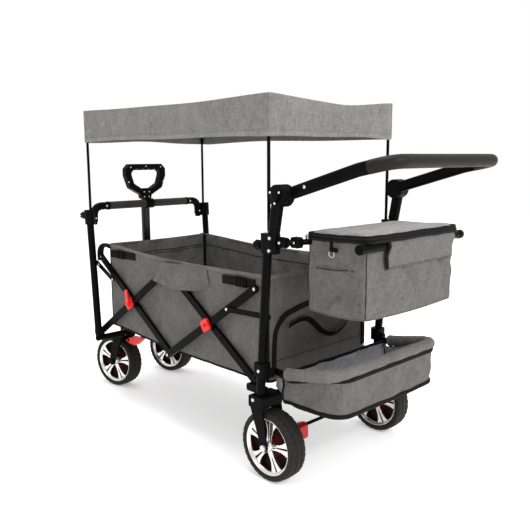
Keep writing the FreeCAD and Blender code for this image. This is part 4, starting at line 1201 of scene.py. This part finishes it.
def make_wheels(look):
    for end in ("rear", "front"):
        for sign, side in SIDES:
            label = end + "_" + side
            low, high = box_mm(label + "_tyre")
            centre, radius = (low + high) / 2, (high.z - low.z) / 2
            out = LEFT * sign
            if end == "front":
                out = Matrix.Rotation(CASTER_TURN, 3, "Z") @ out
            body = label + "_wheel"
            tyre = make_tyre(label + "_tread_tyre", centre, radius, TYRE_W, out, look)
            finish_piece(tyre, body, (label + "_tyre",))
            rim = make_rim(label + "_spoked_rim", centre, radius, TYRE_W, out, look)
            rim.data.shade_smooth()
            soften(rim, 1.0, 2, 40)
            finish_piece(rim, body, (label + "_rim",))


# ---------------------------------------------------------------- hardware


def make_elbows(look):
    """The moulded corners that cover the ends of the front bar."""
    low, high = box_mm("front_top_bar")
    foam = box_mm("front_foam_grip")[1].y
    x, z, y = (low.x + high.x) / 2, high.z - 11.0, high.y - 11.0
    corners = [Vector((x, foam + 2, z)), Vector((x, y, z)), Vector((x, y, z - 58))]
    path = rounded_path(corners, 36.0, 10, 5)
    count = len(path)
    elbow = sweep("left_elbow", path, oval(14.0, 14.0, 18), look["plastic_black"], up=FORWARD,
                  swell=lambda n: 1.0 + 0.05 * hump(n / (count - 1)))
    collar = lathe("left_elbow", [(11.2, 0), (15.4, 0), (16, 1.5), (16, 9), (15, 10.5), (11.2, 10.5)],
                   corners[0], LEFT, look["plastic_black"], 28)
    elbow = merged("left_elbow", [elbow, collar])
    elbow.data.shade_smooth()
    finish_all((elbow, twin(elbow, "right_elbow")), "front_frame")
    spots = [Vector((x - 13.8, foam + 18, z)), Vector((x - 13.8, y, z - 44))]
    heads = domes("elbow_rivets", both_sides(spots), -FORWARD, 4.2, 2.0, look["zinc"])
    finish_piece(heads, "front_frame")


def make_rivets(look):
    """The bright heads that hold the linkage, hinges and grip together."""
    (rear_x, front_x), (low_z, _, high_z) = LINKAGE_X, LINKAGE_Z
    bar, link = OUTER_BAR_FACE, LINK_FACE
    low, high = box_mm("push_bar_discs")
    hinge = (low + high) / 2
    face = box_mm("push_bar_sockets")[1].y
    foot = Vector((REAR_POST_TOP[0], face - 4.5, REAR_POST_TOP[1]))
    rows = (
        ("bar_rivets_rear", "bar_rear_high", 5.2, 2.2,
         [(rear_x, bar, high_z), ((rear_x + front_x) / 2, bar, low_z)]),
        ("bar_rivets_front", "bar_front_low", 5.2, 2.2, [(front_x, bar, low_z)]),
        ("bar_rivets_front_top", "bar_front_high", 5.2, 2.2, [(front_x, bar - 12, high_z)]),
        ("rear_link_rivets", "rear_links", 5.0, 2.0, [(-333, link, 476.8), (-164, link, 469.8)]),
        ("front_link_rivets", "front_links", 5.0, 2.0, [(570, link, 520), (477.1, link, 474.5)]),
        ("hinge_rivets", "rear_frame", 3.6, 1.6,
         [(hinge.x + 19 * math.cos(a), face, hinge.z + 19 * math.sin(a)) for a in (0.5, 2.6, 4.7)]),
        ("socket_rivets", "rear_frame", 3.4, 2.5, [foot.lerp(Vector((hinge.x, foot.y, hinge.z)), 0.3)]),
        ("arm_rivets", "push_bar", 4.6, 2.2, [(hinge.x - 74, box_mm("push_bar")[1].y - 0.4, hinge.z + 25)]),
    )
    for name, body, radius, height, spots in rows:
        side_domes(name, [Vector(spot) for spot in spots], radius, height, look["zinc"], body)
    hub_cap = [(0.05, 4), (7, 4), (12, 2.5), (14, 0), (0.05, 0)]
    cap = lathe("hinge_caps", hub_cap, Vector((hinge.x, face, hinge.z)), LEFT, look["plastic_black"], 28)
    other = twin(cap, "hinge_caps_far")
    finish_piece(merged("hinge_caps", [cap, other]), "rear_frame")
    make_grip_screws(look)


def make_grip_screws(look):
    low, high = box_mm("handle_grip")
    half, top = high.y, high.z
    spots = [(0, top - 9), (half - 22, top - 12), (-half + 22, top - 12), (half - 11, top - 70),
             (-half + 11, top - 70)]
    spots += [(12, low.z + 28), (-12, low.z + 28), (11, low.z + 8), (-11, low.z + 8)]
    for label, x, axis in (("rear", low.x, -FORWARD), ("front", high.x, FORWARD)):
        heads = domes("grip_screws_" + label, [Vector((x, y, z)) for y, z in spots], axis, 3.4, 1.3,
                      look["zinc"])
        finish_piece(heads, "handle_slider")


def make_bearings(look):
    """The zinc swivel bearing round each caster's socket."""
    for sign, side in SIDES:
        x, y = KINGPIN[0], sign * KINGPIN[1]
        ring = [(18.2, 0), (25, 0), (27, 2), (27, 6), (24, 9), (18.2, 9)]
        bearing = lathe(side + "_caster_bearing", ring, Vector((x, y, 216.0)), UP, look["zinc"], 40)
        finish_piece(bearing, "front_frame")


def dress_nodes(look):
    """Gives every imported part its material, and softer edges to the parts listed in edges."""
    edges = {
        "bar_rear_low": 2.0, "bar_rear_high": 2.0, "bar_front_high": 2.0, "bar_front_low": 2.0,
        "rear_clamps": 1.6, "front_clamps": 1.6, "rear_forks": 1.6, "handle_grip": 3.0,
        "brake_pedals": 2.5, "left_latch_tab": 1.2, "right_latch_tab": 1.2, "rear_red_joints": 1.6,
        "front_red_joints": 1.6, "push_bar_discs": 2.0, "push_bar_sockets": 1.6, "handle_clip": 1.6,
        "left_caster_lock": 2.2, "right_caster_lock": 2.2, "left_caster_fork": 1.4, "right_caster_fork": 1.4,
    }
    special = {"handle_tube": "stem", "front_foam_grip": "front_foam", "push_bar": "steel_black",
               "left_caster_lock": "red_plastic", "right_caster_lock": "red_plastic"}
    for name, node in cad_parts.items():
        slot = node.data.materials[0].name.split(".")[0]
        material = look[special.get(name, slot)] if special.get(name, slot) in look else look["fabric"]
        for place in node.material_slots:
            place.link = "OBJECT"
            place.material = material
        if name in edges:
            node.modifiers.new("weld", "WELD").merge_threshold = MM / 100
            soften(node, edges[name], 2, 40)


# ---------------------------------------------------------------- studio


def make_studio():
    """A pale floor and soft light from above, both sides and behind the camera."""
    material, tree, shader = blank("studio_floor", Roughness=0.75, Specular_IOR_Level=0.2,
                                   Emission_Color=(1, 1, 1, 1), Emission_Strength=0.3)
    tone = stretched_noise(tree, (1.5, 1.5, 1.5), 2)
    tree.links.new(ramp(tree, tone, [(0.3, (0.86, 0.86, 0.86)), (0.7, (0.88, 0.88, 0.88))]),
                   shader.inputs["Base Color"])
    reach = 9000.0
    around = ((-reach, -reach), (reach, -reach), (reach, reach), (-reach, reach))
    floor = [Vector((x, y, 0)) for x, y in around]
    floor = new_piece("studio_floor", floor, [(0, 1, 2, 3)], material)
    world = bpy.data.worlds.new("studio")
    bpy.context.scene.world = world
    world.use_nodes = True
    world.node_tree.nodes["Background"].inputs["Color"].default_value = (1, 1, 1, 1)
    world.node_tree.nodes["Background"].inputs["Strength"].default_value = 1.0
    centre = Vector((0, 0, 0.5))
    lights = (("key", (-3.4, 0.2, 2.6), 1.6, 95.0), ("side", (-0.2, 3.8, 2.2), 1.4, 16.0),
              ("top", (0.4, 0.0, 4.2), 2.4, 105.0))
    for name, place, size, power in lights:
        data = bpy.data.lights.new(name, "AREA")
        data.shape = "DISK"
        data.size = size
        data.energy = power
        light = add_object(name, data)
        light.location = place
        light.rotation_mode = "QUATERNION"
        light.rotation_quaternion = (centre - Vector(place)).to_track_quat("-Z", "Y")


def make_camera():
    """Stands behind the wagon's left rear corner, a little under the canopy, looking down slightly."""
    heading, pitch, roll = math.radians(44.15), math.radians(9.45), math.radians(-0.15)
    place = Vector((-1612.5, 1504.5, 921.1)) * MM
    aim = Vector((math.cos(heading) * math.cos(pitch), -math.sin(heading) * math.cos(pitch),
                  -math.sin(pitch)))
    data = bpy.data.cameras.new("camera")
    data.lens = 44.37
    data.clip_start = 0.05
    camera = add_object("camera", data)
    camera.location = place
    camera.rotation_mode = "QUATERNION"
    camera.rotation_quaternion = aim.to_track_quat("-Z", "Y") @ Matrix.Rotation(roll, 3, "Z").to_quaternion()
    bpy.context.scene.camera = camera
    bpy.context.scene.view_settings.view_transform = "Standard"


make_camera()
LOOK = make_materials()
make_canopy(LOOK)
make_tub(LOOK)
make_bag(LOOK)
make_tray(LOOK)
make_wheels(LOOK)
make_elbows(LOOK)
make_rivets(LOOK)
make_bearings(LOOK)
dress_nodes(LOOK)
make_studio()
